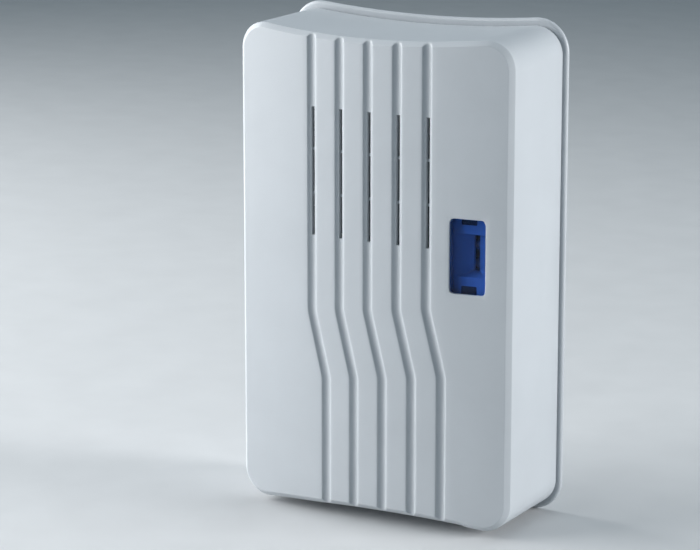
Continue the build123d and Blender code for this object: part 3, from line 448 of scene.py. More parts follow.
def add_skins(shell, columns, low, high, left, right):
    """The face, the skin behind it and the walls of the slots. The block at the window stays open."""
    slots = slot_cells(columns)
    window = {(i, j) for i in range(low, high) for j in range(left, right)}
    for i in range(len(rows) - 1):
        for j in range(len(columns) - 1):
            corners = ((i, j), (i, j + 1), (i + 1, j + 1), (i + 1, j))
            if (i, j) in slots:
                for k, beyond in enumerate(((i - 1, j), (i, j + 1), (i + 1, j), (i, j - 1))):
                    side = (corners[k], corners[(k + 1) % 4])
                    if beyond not in slots:
                        shell.faces.append(shell.loop("outer", side) + shell.loop("inner", side[::-1]))
            elif (i, j) not in window:
                shell.faces.append(shell.loop("outer", corners))
                shell.faces.append(shell.loop("inner", corners[::-1]))


def window_ring(block, grow, depth):
    """Points of the window's rounded outline, one for each (dx, dz, corner turn) of the block."""
    straight_x = WINDOW_HALF[0] - WINDOW_CORNER
    straight_z = WINDOW_HALF[1] - WINDOW_CORNER
    points = []
    for block_x, block_z, turn in block:
        side_x, side_z = (1 if block_x > 0 else -1), (1 if block_z > 0 else -1)
        if turn is None:
            dx = min(max(block_x, -straight_x), straight_x)
            dz = min(max(block_z, -straight_z), straight_z)
            if abs(block_x) >= abs(block_z) * WINDOW_HALF[0] / WINDOW_HALF[1]:
                dx = (WINDOW_HALF[0] + grow) * side_x
            else:
                dz = (WINDOW_HALF[1] + grow) * side_z
        else:
            reach = WINDOW_CORNER + grow
            dx = side_x * (straight_x + reach * cos(turn))
            dz = side_z * (straight_z + reach * sin(turn))
        x = WINDOW_X + dx
        points.append(Vector((x, bow_y(x) + depth, WINDOW_Z + dz)))
    return points


def add_window(shell, low, high, left, right):
    """Rings from the block of the grid to the rounded opening and through the wall."""
    places = grid_loop(low, high, left, right)
    block = []
    for i, j in places:
        point = shell.skins["outer"][i][j]
        dx, dz = point.x - WINDOW_X, point.z - WINDOW_Z
        past_x = abs(dx) - (WINDOW_HALF[0] - WINDOW_CORNER)
        past_z = abs(dz) - (WINDOW_HALF[1] - WINDOW_CORNER)
        turn = atan(past_z / past_x) if min(past_x, past_z) > CORNER_NEAR else None
        block.append((dx, dz, turn))
    shell.run_through(places, [window_ring(block, grow, depth) for grow, depth in WINDOW_EDGE])


def add_walls(shell, columns):
    """The rounded chamfer of the front, the side walls, the rear lip and the walls' inner faces."""
    last_row, last_column = len(rows) - 1, len(columns) - 1
    places = grid_loop(0, last_row, 0, last_column)
    rim = []
    for i, j in places:
        x, groove = columns[j]
        if j in (0, last_column):
            normal = Vector((-1 if j == 0 else 1, 0))
        else:
            normal = outline_edge(x, FACE_INSET, i == last_row)[1]
        rim.append((shell.skins["outer"][i][j], normal, groove if i in (0, last_row) else 0.0))

    def edge_ring(inset, y_at):
        step = FACE_INSET - inset
        ring = []
        for point, normal, groove in rim:
            x, z = point.x + normal.x * step, point.z + normal.y * step
            ring.append(Vector((x, y_at(x, groove), z)))
        return ring

    rings = []
    for inset, drop in EDGE_PROFILE[1:]:
        rings.append(edge_ring(inset, lambda x, groove: bow_y(x) + max(drop, groove)))
    rings += [edge_ring(inset, lambda x, groove: y) for inset, y in WALL_PROFILE]
    shell.run_through(places, rings)


def make_housing():
    """The moulded front as one closed shell: bowed face, grooves, slots, window and walls."""
    columns = front_columns(FACE_INSET)
    outer = front_sheet(FACE_INSET, lambda u, groove: groove)
    inner = front_sheet(SHELL_WALL, lambda u, groove: SHELL_WALL)
    shell = ShellMesh(outer, inner)
    block = (*WINDOW_ROWS, *(nearest_column(columns, x) for x in WINDOW_COLUMNS))
    add_skins(shell, columns, *block)
    add_window(shell, *block)
    add_walls(shell, columns)
    piece = new_mesh_object("housing_shell", shell.points, shell.faces)
    settle(piece, angle=40)
    share = piece.data.attributes.new("front_texture", "FLOAT", "POINT")
    for v, item in zip(piece.data.vertices, share.data):
        item.value = smooth(-v.normal.y, *FRONT_FACING)
    return piece


RING_TURNS = (0, 22.5, 45, 67.5, 90)
RING_SHARES = (-0.6, -0.2, 0.2, 0.6)


def rounded_ring(centre, half, corner, depth_at):
    """Points round a rounded rectangle: upper row from left to right, lower row back."""
    reach = half[0] - corner
    upper = []
    for a in RING_TURNS:
        upper.append((-reach - corner * cos(radians(a)), half[1] - corner * (1 - sin(radians(a)))))
    upper += [(share * reach, half[1]) for share in RING_SHARES]
    upper += [(-u, w) for u, w in reversed(upper[: len(RING_TURNS)])]
    round_trip = upper + [(u, -w) for u, w in reversed(upper)]
    return [Vector((centre[0] + u, depth_at(centre[0] + u), centre[1] + w)) for u, w in round_trip]


def ring_solid(name, rings, closed):
    """Solid from rings of as many points. It has two end faces, or closed joins last to first."""
    count = len(rings[0])
    columns = count // 2
    points = [point for ring in rings for point in ring]
    faces = []
    for k in range(len(rings) if closed else len(rings) - 1):
        near, far = k * count, (k + 1) % len(rings) * count
        for i in range(count):
            j = (i + 1) % count
            faces.append((near + i, near + j, far + j, far + i))
    if not closed:
        for start in (0, (len(rings) - 1) * count):
            for i in range(columns - 1):
                low = start + count - 1 - i
                faces.append((start + i, start + i + 1, low - 1, low))
    return new_mesh_object(name, points, faces)


def behind_face(depth):
    """Depth rule of a ring that follows the bow at a depth behind the face."""
    return lambda x: bow_y(x) + depth


def at_depth(y):
    """Depth rule of a flat ring."""
    return lambda x: y


def make_lens():
    """Blue lens: bowed plate in the window with a flange behind the wall."""
    middle = (WINDOW_X, WINDOW_Z)
    rings = []
    for inset, depth in LENS_EDGE:
        half = (LENS_HALF[0] - inset, LENS_HALF[1] - inset)
        rings.append(rounded_ring(middle, half, LENS_CORNER - inset, behind_face(depth)))
    for depth in (LENS_FLANGE_FRONT, LENS_BACK):
        rings.append(rounded_ring(middle, FLANGE_HALF, FLANGE_CORNER, behind_face(depth)))
    piece = ring_solid("window_lens_moulding", rings, False)
    settle(piece, angle=50)
    return piece


def make_light_box():
    """Light box: frame behind the lens, funnel to the lamp slot, shroud and three legs."""
    middle = (WINDOW_X, WINDOW_Z)
    rings = [
        rounded_ring(middle, FLANGE_HALF, FLANGE_CORNER, behind_face(BOX_FRONT)),
        rounded_ring(middle, MOUTH_HALF, MOUTH_CORNER, behind_face(BOX_FRONT)),
        rounded_ring(LAMP_SLOT, LAMP_SLOT_HALF, LAMP_SLOT_CORNER, at_depth(LIGHT_WALL_Y)),
        rounded_ring(LAMP_SLOT, LAMP_SLOT_HALF, LAMP_SLOT_CORNER, at_depth(LIGHT_WALL_BACK)),
        rounded_ring(middle, SHROUD_INNER, SHROUD_INNER_CORNER, at_depth(LIGHT_WALL_BACK)),
        rounded_ring(middle, SHROUD_INNER, SHROUD_INNER_CORNER, at_depth(SHROUD_BACK)),
        rounded_ring(middle, SHROUD_OUTER, SHROUD_OUTER_CORNER, at_depth(SHROUD_BACK)),
        rounded_ring(middle, SHROUD_OUTER, SHROUD_OUTER_CORNER, at_depth(LIGHT_WALL_BACK)),
        rounded_ring(middle, FLANGE_HALF, FLANGE_CORNER, at_depth(LIGHT_WALL_BACK)),
    ]
    parts = [ring_solid("light_box_moulding", rings, True)]
    for side, end in ((-1, 1), (1, 1), (1, -1)):
        foot = (WINDOW_X + side * (FLANGE_HALF[0] - LEG_HALF), WINDOW_Z + end * (FLANGE_HALF[1] - LEG_HALF))
        leg = [
            rounded_ring(foot, (LEG_HALF, LEG_HALF), LEG_CORNER, at_depth(y))
            for y in (LIGHT_WALL_BACK - LEG_SINK, BOARD_FRONT_Y)
        ]
        parts.append(ring_solid("leg", leg, False))
    piece = joined(parts)
    settle(piece, angle=35)
    return piece


def make_lens_clips():
    """Two snap clips that hold the lens, one above and one below. Their black is painted shade for the dark
    notches above and below the lens.
    """
    parts = []
    for end in (-1, 1):
        middle = (CLIP_X, WINDOW_Z + end * CLIP_REACH)
        rings = []
        for inset, depth in CLIP_EDGE:
            half = (CLIP_HALF[0] - inset, CLIP_HALF[1] - inset)
            rings.append(rounded_ring(middle, half, CLIP_CORNER, behind_face(depth)))
        parts.append(ring_solid("lens_clip", rings, False))
    piece = joined(parts)
    piece.name = "lens_clips"
    settle(piece, angle=35)
    return piece


def joined(parts):
    """One object from several. It keeps the name of the first."""
    solid = bmesh.new()
    for part in parts:
        solid.from_mesh(part.data)
    first = parts[0]
    solid.to_mesh(first.data)
    solid.free()
    for part in parts[1:]:
        bpy.data.objects.remove(part)
    return first


# Geometry Nodes: pieces set on points, and wound wire

def new_tree(name, sockets):
    """Geometry tree with its named inputs and one geometry output."""
    tree = bpy.data.node_groups.new(name, "GeometryNodeTree")
    for label, kind in sockets:
        tree.interface.new_socket(label, in_out="INPUT", socket_type=kind)
    tree.interface.new_socket("Geometry", in_out="OUTPUT", socket_type="NodeSocketGeometry")
    return tree, tree.nodes.new("NodeGroupInput"), tree.nodes.new("NodeGroupOutput")


def repeat_tree():
    """Sets a piece on every point, turned by the point's own angles and by chance about its axis."""
    tree, given, made = new_tree("piece on every point", (
        ("Points", "NodeSocketGeometry"), ("Piece", "NodeSocketObject"),
        ("Chance turn", "NodeSocketFloat"), ("Seed", "NodeSocketInt"), ("Finish", "NodeSocketMaterial"),
    ))
    link = tree.links.new
    source = tree.nodes.new("GeometryNodeObjectInfo")
    link(given.outputs["Piece"], source.inputs["Object"])
    turn = tree.nodes.new("GeometryNodeInputNamedAttribute")
    turn.data_type = "FLOAT_VECTOR"
    turn.inputs["Name"].default_value = "turn"
    chance = tree.nodes.new("FunctionNodeRandomValue")
    chance.data_type = "FLOAT"
    # Input 3 is the upper bound of the random number, and output 1 the number itself
    link(given.outputs["Chance turn"], chance.inputs[3])
    link(given.outputs["Seed"], chance.inputs["Seed"])
    about_axis = tree.nodes.new("ShaderNodeCombineXYZ")
    link(chance.outputs[1], about_axis.inputs["Y"])
    total = tree.nodes.new("ShaderNodeVectorMath")
    total.operation = "ADD"
    link(turn.outputs["Attribute"], total.inputs[0])
    link(about_axis.outputs["Vector"], total.inputs[1])
    spots = tree.nodes.new("GeometryNodeMeshToPoints")
    link(given.outputs["Points"], spots.inputs["Mesh"])
    copies = tree.nodes.new("GeometryNodeInstanceOnPoints")
    link(spots.outputs["Points"], copies.inputs["Points"])
    link(source.outputs["Geometry"], copies.inputs["Instance"])
    link(total.outputs["Vector"], copies.inputs["Rotation"])
    realize = tree.nodes.new("GeometryNodeRealizeInstances")
    link(copies.outputs["Instances"], realize.inputs["Geometry"])
    finish = tree.nodes.new("GeometryNodeSetMaterial")
    link(realize.outputs["Geometry"], finish.inputs["Geometry"])
    link(given.outputs["Finish"], finish.inputs["Material"])
    link(finish.outputs["Geometry"], made.inputs["Geometry"])
    return tree


def coil_tree():
    """Winds round wire into a cone-shaped spring."""
    tree, given, made = new_tree("cone spring", (
        ("Points", "NodeSocketGeometry"), ("Turns", "NodeSocketFloat"), ("Base radius", "NodeSocketFloat"),
        ("Tip radius", "NodeSocketFloat"), ("Height", "NodeSocketFloat"), ("Wire radius", "NodeSocketFloat"),
        ("Finish", "NodeSocketMaterial"),
    ))
    link = tree.links.new
    spiral = tree.nodes.new("GeometryNodeCurveSpiral")
    spiral.inputs["Resolution"].default_value = TURN_STEPS
    for label, socket in (("Turns", "Rotations"), ("Base radius", "Start Radius"),
                          ("Tip radius", "End Radius"), ("Height", "Height")):
        link(given.outputs[label], spiral.inputs[socket])
    section = tree.nodes.new("GeometryNodeCurvePrimitiveCircle")
    section.inputs["Resolution"].default_value = WIRE_SIDES
    link(given.outputs["Wire radius"], section.inputs["Radius"])
    wire = tree.nodes.new("GeometryNodeCurveToMesh")
    wire.inputs["Fill Caps"].default_value = True
    link(spiral.outputs["Curve"], wire.inputs["Curve"])
    link(section.outputs["Curve"], wire.inputs["Profile Curve"])
    realize = tree.nodes.new("GeometryNodeRealizeInstances")
    link(wire.outputs["Mesh"], realize.inputs["Geometry"])
    finish = tree.nodes.new("GeometryNodeSetMaterial")
    link(realize.outputs["Geometry"], finish.inputs["Geometry"])
    link(given.outputs["Finish"], finish.inputs["Material"])
    link(finish.outputs["Geometry"], made.inputs["Geometry"])
    return tree


def grown(host, tree, values):
    """Runs a tree on an object and turns the result into the object's plain mesh."""
    modifier = host.modifiers.new(tree.name, "NODES")
    modifier.node_group = tree
    for item in tree.interface.items_tree:
        if item.in_out == "INPUT" and item.name in values:
            modifier[item.identifier] = values[item.name]
    graph = bpy.context.evaluated_depsgraph_get()
    host.data = bpy.data.meshes.new_from_object(host.evaluated_get(graph))
    host.modifiers.clear()
    return host


def set_on_points(name, template, spots, finish, chance=0.0, seed=1):
    """Copies of a template piece at (x, y, z, turn about x, turn about z), as one mesh."""
    host = new_mesh_object(name, [spot[:3] for spot in spots], [])
    turns = host.data.attributes.new("turn", "FLOAT_VECTOR", "POINT")
    for spot, item in zip(spots, turns.data):
        item.vector = (radians(spot[3]), 0, radians(spot[4]))
    grown(host, on_points, {"Piece": template, "Chance turn": chance, "Seed": seed, "Finish": finish})
    bpy.data.objects.remove(template)
    return host


def lathe(name, profile, steps):
    """Solid of revolution about the y axis, from (radius, y) points whose ends lie on the axis."""
    points = [Vector((0, profile[0][1], 0))]
    for radius, y in profile[1:-1]:
        points += [Vector((radius * cos(2 * pi * k / steps), y, radius * sin(2 * pi * k / steps)))
                   for k in range(steps)]
    points.append(Vector((0, profile[-1][1], 0)))
    faces = []
    last = len(points) - 1
    for k in range(steps):
        after = (k + 1) % steps
        faces.append((0, 1 + k, 1 + after))
        for ring in range(len(profile) - 3):
            near, far = 1 + ring * steps, 1 + (ring + 1) * steps
            faces.append((near + k, far + k, far + after, near + after))
        faces.append((last, last - steps + after, last - steps + k))
    return new_mesh_object(name, points, faces)


def cross_cutter(head_radius, head_height, turned):
    """Tapered cutter of one arm of the cross recess."""
    reach, half = head_radius * CROSS_REACH_SHARE, head_radius * CROSS_HALF_SHARE
    wide, high = (half, reach) if turned else (reach, half)
    narrow = (wide * CROSS_TAPER_SHARE, high * CROSS_TAPER_SHARE)
    mouth_corner, floor_corner = (half * share for share in CROSS_CORNER_SHARES)
    cutter = ring_solid("cross", [
        rounded_ring((0, 0), (wide, high), mouth_corner, at_depth(head_height + CROSS_OVERSHOOT)),
        rounded_ring((0, 0), narrow, floor_corner, at_depth(head_height * CROSS_FLOOR_SHARE)),
    ], False)
    settle(cutter)
    return cutter


def screw(head_radius, head_height, shank_radius, length):
    """Pan-head tapping screw with a cross recess. It faces +y and its head seats at the origin."""
    root = shank_radius * ROOT_SHARE
    profile = [(0, head_height)]
    for a in DOME_TURNS:
        dome = 1 - DOME_SHARE + DOME_SHARE * cos(radians(a))
        profile.append((head_radius * sin(radians(a)), head_height * dome))
    profile += [(head_radius, 0.0), (root, 0.0)]
    depth = THREAD_START
    while depth < length - 2 * shank_radius:
        profile += [(root, -depth), (shank_radius, -depth - THREAD_RISE), (root, -depth - 2 * THREAD_RISE)]
        depth += THREAD_PITCH
    profile += [(shank_radius * TIP_SHARE, -length + shank_radius), (0, -length)]
    piece = lathe("screw", profile, SCREW_SIDES)
    settle(piece, angle=40)
    for turned in (False, True):
        cutter = cross_cutter(head_radius, head_height, turned)
        cut = piece.modifiers.new("cross", "BOOLEAN")
        cut.operation = "DIFFERENCE"
        cut.solver = "EXACT"
        cut.object = cutter
        graph = bpy.context.evaluated_depsgraph_get()
        piece.data = bpy.data.meshes.new_from_object(piece.evaluated_get(graph))
        piece.modifiers.clear()
        bpy.data.objects.remove(cutter)
    piece.data.set_sharp_from_angle(angle=radians(SCREW_SHARP_ANGLE))
    return piece


# Materials

def new_material(name):
    """Empty node material with its Principled shader."""
    material = bpy.data.materials.new(name)
    material.use_nodes = True
    return material, material.node_tree, material.node_tree.nodes["Principled BSDF"]


def object_noise(tree, scale, detail=3.0, stretch=None):
    """Noise on Object coordinates. Scale is in features per metre."""
    coordinates = tree.nodes.new("ShaderNodeTexCoord")
    noise = tree.nodes.new("ShaderNodeTexNoise")
    noise.inputs["Scale"].default_value = scale
    noise.inputs["Detail"].default_value = detail
    source = coordinates.outputs["Object"]
    if stretch:
        mapping = tree.nodes.new("ShaderNodeMapping")
        mapping.inputs["Scale"].default_value = stretch
        tree.links.new(source, mapping.inputs["Vector"])
        source = mapping.outputs["Vector"]
    tree.links.new(source, noise.inputs["Vector"])
    return noise.outputs["Fac"]


def colour_between(tree, share, dark, light):
    """Colour from dark to light as share goes from 0.3 to 0.7."""
    ramp = tree.nodes.new("ShaderNodeValToRGB")
    ramp.color_ramp.elements[0].position = 0.3
    ramp.color_ramp.elements[0].color = (*dark, 1)
    ramp.color_ramp.elements[1].position = 0.7
    ramp.color_ramp.elements[1].color = (*light, 1)
    tree.links.new(share, ramp.inputs["Fac"])
    return ramp.outputs["Color"]


def value_between(tree, share, low, high):
    """Number from low to high as share goes from 0 to 1."""
    spread = tree.nodes.new("ShaderNodeMapRange")
    spread.inputs["To Min"].default_value = low
    spread.inputs["To Max"].default_value = high
    tree.links.new(share, spread.inputs["Value"])
    return spread.outputs["Result"]


def bump(tree, height, distance):
    """Bump from a height field, with its depth in metres."""
    node = tree.nodes.new("ShaderNodeBump")
    node.inputs["Distance"].default_value = distance
    node.inputs["Strength"].default_value = 1.0
    tree.links.new(height, node.inputs["Height"])
    return node


def tint(colour, factor):
    """The colour made darker or lighter by a factor."""
    return tuple(channel * factor for channel in colour)


def plastic(name, colour, roughness, grain=1800, depth=4e-6, spread=0.02, masked=False):
    """Moulded plastic: faint clouding, roughness that varies, and a fine spark texture."""
    material, tree, shader = new_material(name)
    clouds = object_noise(tree, scale=60, detail=4)
    tree.links.new(
        colour_between(tree, clouds, tint(colour, 1 - spread), tint(colour, 1 + spread)),
        shader.inputs["Base Color"],
    )
    fine = object_noise(tree, scale=grain, detail=2)
    worn = value_between(tree, clouds, roughness - 0.05, roughness + 0.06)
    tree.links.new(worn, shader.inputs["Roughness"])
    relief = bump(tree, fine, depth)
    if masked:
        attribute = tree.nodes.new("ShaderNodeAttribute")
        attribute.attribute_name = "front_texture"
        tree.links.new(value_between(tree, attribute.outputs["Fac"], 0.15, 1.0), relief.inputs["Strength"])
    tree.links.new(relief.outputs["Normal"], shader.inputs["Normal"])
    shader.inputs["IOR"].default_value = 1.5
    return material


def metal(name, colour, roughness, brush=None, spread=0.04):
    """Plated or bare metal with fine scratches."""
    material, tree, shader = new_material(name)
    streaks = object_noise(tree, scale=900, detail=4, stretch=brush)
    tree.links.new(
        colour_between(tree, streaks, tint(colour, 1 - spread), tint(colour, 1 + spread)),
        shader.inputs["Base Color"],
    )
    tree.links.new(value_between(tree, streaks, roughness * 0.8, roughness * 1.2), shader.inputs["Roughness"])
    tree.links.new(bump(tree, streaks, 3e-6).outputs["Normal"], shader.inputs["Normal"])
    shader.inputs["Metallic"].default_value = 1.0
    return material


def blue_lens_material():
    """Clear blue acrylic that lets the lamps' rays through."""
    material, tree, shader = new_material("blue acrylic lens")
    shader.inputs["Base Color"].default_value = (0.19, 0.39, 0.81, 1)
    shader.inputs["Transmission Weight"].default_value = 1.0
    shader.inputs["IOR"].default_value = 1.49
    shader.inputs["Specular Tint"].default_value = (0.32, 0.32, 0.32, 1)
    swirl = object_noise(tree, scale=140, detail=2)
    tree.links.new(value_between(tree, swirl, 0.0, 0.03), shader.inputs["Roughness"])
    clear = tree.nodes.new("ShaderNodeBsdfTransparent")
    clear.inputs["Color"].default_value = (0.55, 0.68, 0.93, 1)
    path = tree.nodes.new("ShaderNodeLightPath")
    mix = tree.nodes.new("ShaderNodeMixShader")
    tree.links.new(path.outputs["Is Shadow Ray"], mix.inputs["Fac"])
    tree.links.new(shader.outputs["BSDF"], mix.inputs[1])
    tree.links.new(clear.outputs["BSDF"], mix.inputs[2])
    tree.links.new(mix.outputs["Shader"], tree.nodes["Material Output"].inputs["Surface"])
    return material


def lamp_material():
    """Water-clear epoxy of the lamps."""
    material, tree, shader = new_material("clear lamp epoxy")
    shader.inputs["Base Color"].default_value = (0.9, 0.94, 0.98, 1)
    shader.inputs["Transmission Weight"].default_value = 0.6
    clouds = object_noise(tree, scale=400)
    tree.links.new(value_between(tree, clouds, 0.05, 0.2), shader.inputs["Roughness"])
    return material


def board_material():
    """Green solder mask over copper tracks that show as a raised, lighter pattern."""
    material, tree, shader = new_material("green solder mask")
    coordinates = tree.nodes.new("ShaderNodeTexCoord")
    mapping = tree.nodes.new("ShaderNodeMapping")
    mapping.inputs["Rotation"].default_value = (radians(90), 0, 0)
    tree.links.new(coordinates.outputs["Object"], mapping.inputs["Vector"])
    tracks = tree.nodes.new("ShaderNodeTexBrick")
    tracks.inputs["Scale"].default_value = 160
    tracks.inputs["Mortar Size"].default_value = 0.03
    tracks.inputs["Color1"].default_value = (0.012, 0.075, 0.03, 1)
    tracks.inputs["Color2"].default_value = (0.016, 0.09, 0.036, 1)
    tracks.inputs["Mortar"].default_value = (0.035, 0.16, 0.07, 1)
    tree.links.new(mapping.outputs["Vector"], tracks.inputs["Vector"])
    tree.links.new(tracks.outputs["Color"], shader.inputs["Base Color"])
    clouds = object_noise(tree, scale=300)
    tree.links.new(value_between(tree, clouds, 0.25, 0.4), shader.inputs["Roughness"])
    tree.links.new(bump(tree, tracks.outputs["Fac"], 2e-5).outputs["Normal"], shader.inputs["Normal"])
    return material


def cell_material():
    """Plain grey shrink jacket with bare steel at the two ends of the cell."""
    material, tree, shader = new_material("cell jacket and ends")
    coordinates = tree.nodes.new("ShaderNodeTexCoord")
    parts = tree.nodes.new("ShaderNodeSeparateXYZ")
    tree.links.new(coordinates.outputs["Object"], parts.inputs["Vector"])
    edges = tree.nodes.new("ShaderNodeValToRGB")
    edges.color_ramp.interpolation = "CONSTANT"
    edges.color_ramp.elements[0].position = 0.0
    edges.color_ramp.elements[0].color = (1, 1, 1, 1)
    edges.color_ramp.elements[1].position = CELL_BARE_SHARES[0]
    edges.color_ramp.elements[1].color = (0, 0, 0, 1)
    bare = edges.color_ramp.elements.new(CELL_BARE_SHARES[1])
    bare.color = (1, 1, 1, 1)
    height = tree.nodes.new("ShaderNodeMapRange")
    height.inputs["From Min"].default_value = LOWER_CONTACT * MM
    height.inputs["From Max"].default_value = UPPER_CONTACT * MM
    tree.links.new(parts.outputs["Z"], height.inputs["Value"])
    tree.links.new(height.outputs["Result"], edges.inputs["Fac"])
    scuffs = object_noise(tree, scale=250, detail=4)
    jacket = colour_between(tree, scuffs, (0.05, 0.056, 0.066), (0.065, 0.072, 0.084))
    mix = tree.nodes.new("ShaderNodeMix")
    mix.data_type = "RGBA"
    tree.links.new(edges.outputs["Color"], mix.inputs["Factor"])
    # Inputs 6 and 7 are the two colours of the mix, and output 2 is the mixed colour
    tree.links.new(jacket, mix.inputs[6])
    mix.inputs[7].default_value = (0.55, 0.54, 0.51, 1)
    tree.links.new(mix.outputs[2], shader.inputs["Base Color"])
    tree.links.new(edges.outputs["Color"], shader.inputs["Metallic"])
    tree.links.new(value_between(tree, scuffs, 0.25, 0.4), shader.inputs["Roughness"])
    return material


def paper_material():
    """Pressed black cone paper with its fibres."""
    material, tree, shader = new_material("pressed cone paper")
    fibres = object_noise(tree, scale=1500, detail=6)
    shade = colour_between(tree, fibres, (0.018, 0.018, 0.02), (0.04, 0.04, 0.044))
    tree.links.new(shade, shader.inputs["Base Color"])
    shader.inputs["Roughness"].default_value = 0.9
    tree.links.new(bump(tree, fibres, 4e-5).outputs["Normal"], shader.inputs["Normal"])
    return material


WHITE = (0.53, 0.56, 0.59)
housing_white = plastic("housing white, spark texture", WHITE, 0.45, grain=2400, depth=3e-5, masked=True)
cover_white = plastic("cover white, satin", WHITE, 0.42, grain=2200, depth=5e-6)
box_grey = plastic("light box grey", (0.46, 0.49, 0.53), 0.5)
key_grey = plastic("control grey", (0.09, 0.1, 0.115), 0.48, grain=2500, depth=8e-6)
# Black resin of the chip, the tact switch and the slide lever; on the lens clips the same black is painted
# shade in the notches at the lens.
black_resin_and_painted_shade = plastic("moulded black resin", (0.02, 0.02, 0.022), 0.5, grain=4000, depth=6e-6, spread=0.15)
socket_white = plastic("ivory nylon", (0.72, 0.7, 0.62), 0.45)
sleeve = plastic("dark shrink sleeve", (0.015, 0.015, 0.03), 0.3, spread=0.1)
foam = plastic("closed-cell foam", (0.02, 0.02, 0.022), 0.9, grain=3000, depth=6e-5, spread=0.2)
rubber = plastic("soft black rubber", (0.025, 0.025, 0.027), 0.6, grain=2000, depth=1e-5, spread=0.1)
ferrite = plastic("sintered ferrite", (0.045, 0.045, 0.047), 0.65, grain=2500, depth=2e-5, spread=0.15)
zinc = metal("bright zinc plate", (0.62, 0.63, 0.65), 0.28)
steel_black = metal("black coated steel", (0.06, 0.06, 0.062), 0.45)
nickel = metal("nickel plate", (0.68, 0.66, 0.62), 0.22, brush=(1, 1, 8))
tin = metal("tinned steel", (0.66, 0.66, 0.66), 0.35, brush=(6, 1, 1))
copper = metal("enamelled copper", (0.62, 0.24, 0.1), 0.3)
blue_lens = blue_lens_material()
clear_epoxy = lamp_material()
green_board = board_material()
cell_jacket = cell_material()
cone_paper = paper_material()


def finish_with(piece, material):
    """Gives a piece its one material."""
    piece.data.materials.clear()
    piece.data.materials.append(material)


def body_of(node):
    """Body of the record that a CAD node rides on."""
    for body, members in frame["record"]["behaviour"]["bodies"].items():
        if node in members:
            return body


def soften_rim(solid):
    """Gives the wall plate's rim a wide round towards the front and a small one at the wall."""
    wall = []
    for v in solid.verts:
        x, y, z = v.co / MM
        low, high = (outline_edge(x, 0.0, upper)[0] for upper in (False, True))
        outside = abs(x) > HALF_WIDTH + RIM_PROUD or z > high + RIM_PROUD or z < low - RIM_PROUD
        if outside and abs(y - RIM_FRONT_Y - RIM_ROUND) < RIM_SLACK:
            wall.append((x, z))
    tree = KDTree(len(wall))
    for k, (x, z) in enumerate(wall):
        tree.insert((x, 0, z), k)
    tree.balance()
    for v in solid.verts:
        x, y, z = v.co / MM
        if y < RIM_FRONT_Y - RIM_SLACK:
            continue
        near, _, distance = tree.find((x, 0, z))
        if distance > RIM_ROUND + RIM_SLACK:
            continue
        front = y < WALL_Y - RIM_ROUND - RIM_SLACK
        share = (RIM_FRONT_ROUND if front else RIM_REAR_ROUND) / RIM_ROUND
        edge = (near.x, RIM_FRONT_Y if front else WALL_Y, near.z)
        v.co = Vector([start + (place - start) * share for start, place in zip(edge, (x, y, z))]) * MM


# Limits of an eased copy: points nearer than MERGE_REACH metres are one, faces that lie within
# FLAT_ANGLE degrees are one, and edges past EASED_ANGLE degrees get a round
MERGE_REACH = 1e-6
FLAT_ANGLE = 0.5
EASED_ANGLE = 35


def eased_copy(node, name, material, ease):
    """Copy of a CAD node with its triangles merged and its edges eased by a small round."""
    mesh = nodes[node].data.copy()
    if "custom_normal" in mesh.attributes:
        mesh.attributes.remove(mesh.attributes["custom_normal"])
    piece = bpy.data.objects.new(name, mesh)
    scene.collection.objects.link(piece)
    solid = bmesh.new()
    solid.from_mesh(mesh)
    bmesh.ops.remove_doubles(solid, verts=solid.verts, dist=MERGE_REACH)
    if node == "rear_cover":
        soften_rim(solid)
    bmesh.ops.dissolve_limit(solid, angle_limit=radians(FLAT_ANGLE), verts=solid.verts, edges=solid.edges)
    for edge in solid.edges:
        edge.smooth = True
    solid.to_mesh(mesh)
    solid.free()
    mesh.shade_smooth()
    bevel = piece.modifiers.new("ease", "BEVEL")
    bevel.width = ease * MM
    bevel.segments = 2
    bevel.limit_method = "ANGLE"
    bevel.angle_limit = radians(EASED_ANGLE)
    bevel.use_clamp_overlap = True
    even = piece.modifiers.new("even shading", "WEIGHTED_NORMAL")
    even.weight = 100
    graph = bpy.context.evaluated_depsgraph_get()
    piece.data = bpy.data.meshes.new_from_object(piece.evaluated_get(graph))
    piece.modifiers.clear()
    bpy.data.meshes.remove(mesh)
    finish_with(piece, material)
    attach(piece, body_of(node))
    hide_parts(node)
    return piece


# The housing's shell replaces its CAD node
housing = make_housing()
finish_with(housing, housing_white)
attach(housing, "housing")
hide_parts("front_housing")

# Moulded pieces with eased edges
for node, name, material, ease, slot in (
    ("rear_cover", "wall_plate", cover_white, 0.15, "cover_plastic"),
    ("battery_door", "battery_door_plate", cover_white, 0.15, "cover_plastic"),
    ("melody_key", "melody_key_cap", key_grey, 0.15, "key_plastic"),
    ("volume_knob", "volume_knob_cap", key_grey, 0.12, "key_plastic"),
):
    eased_copy(node, name, material, ease)

# Window: lens, light box and the clips of the lens
for piece, material, slot, node in (
    (make_lens(), blue_lens, "lens_blue", "window_lens"),
    (make_light_box(), box_grey, "light_box_plastic", "light_box"),
    # The clips' black is painted shade: it gives the dark notches above and below the lens.
    (make_lens_clips(), black_resin_and_painted_shade, "chip_black", None),
):
    finish_with(piece, material)
    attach(piece, "housing")
    if node:
        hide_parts(node)

# Repeated pieces, each set made by Geometry Nodes
on_points = repeat_tree()
for node, name, sizes, spots in (
    ("case_screws", "case_screw_set", CASE_SCREW_SIZES, CASE_SCREWS),
    ("board_screws", "board_screw_set", BOARD_SCREW_SIZES, BOARD_SCREWS),
    ("speaker_screws", "speaker_screw_set", SPEAKER_SCREW_SIZES, SPEAKER_SCREWS),
):
    piece = set_on_points(name, screw(*sizes), spots, zinc, chance=pi, seed=7)
    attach(piece, "housing")
    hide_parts(node)

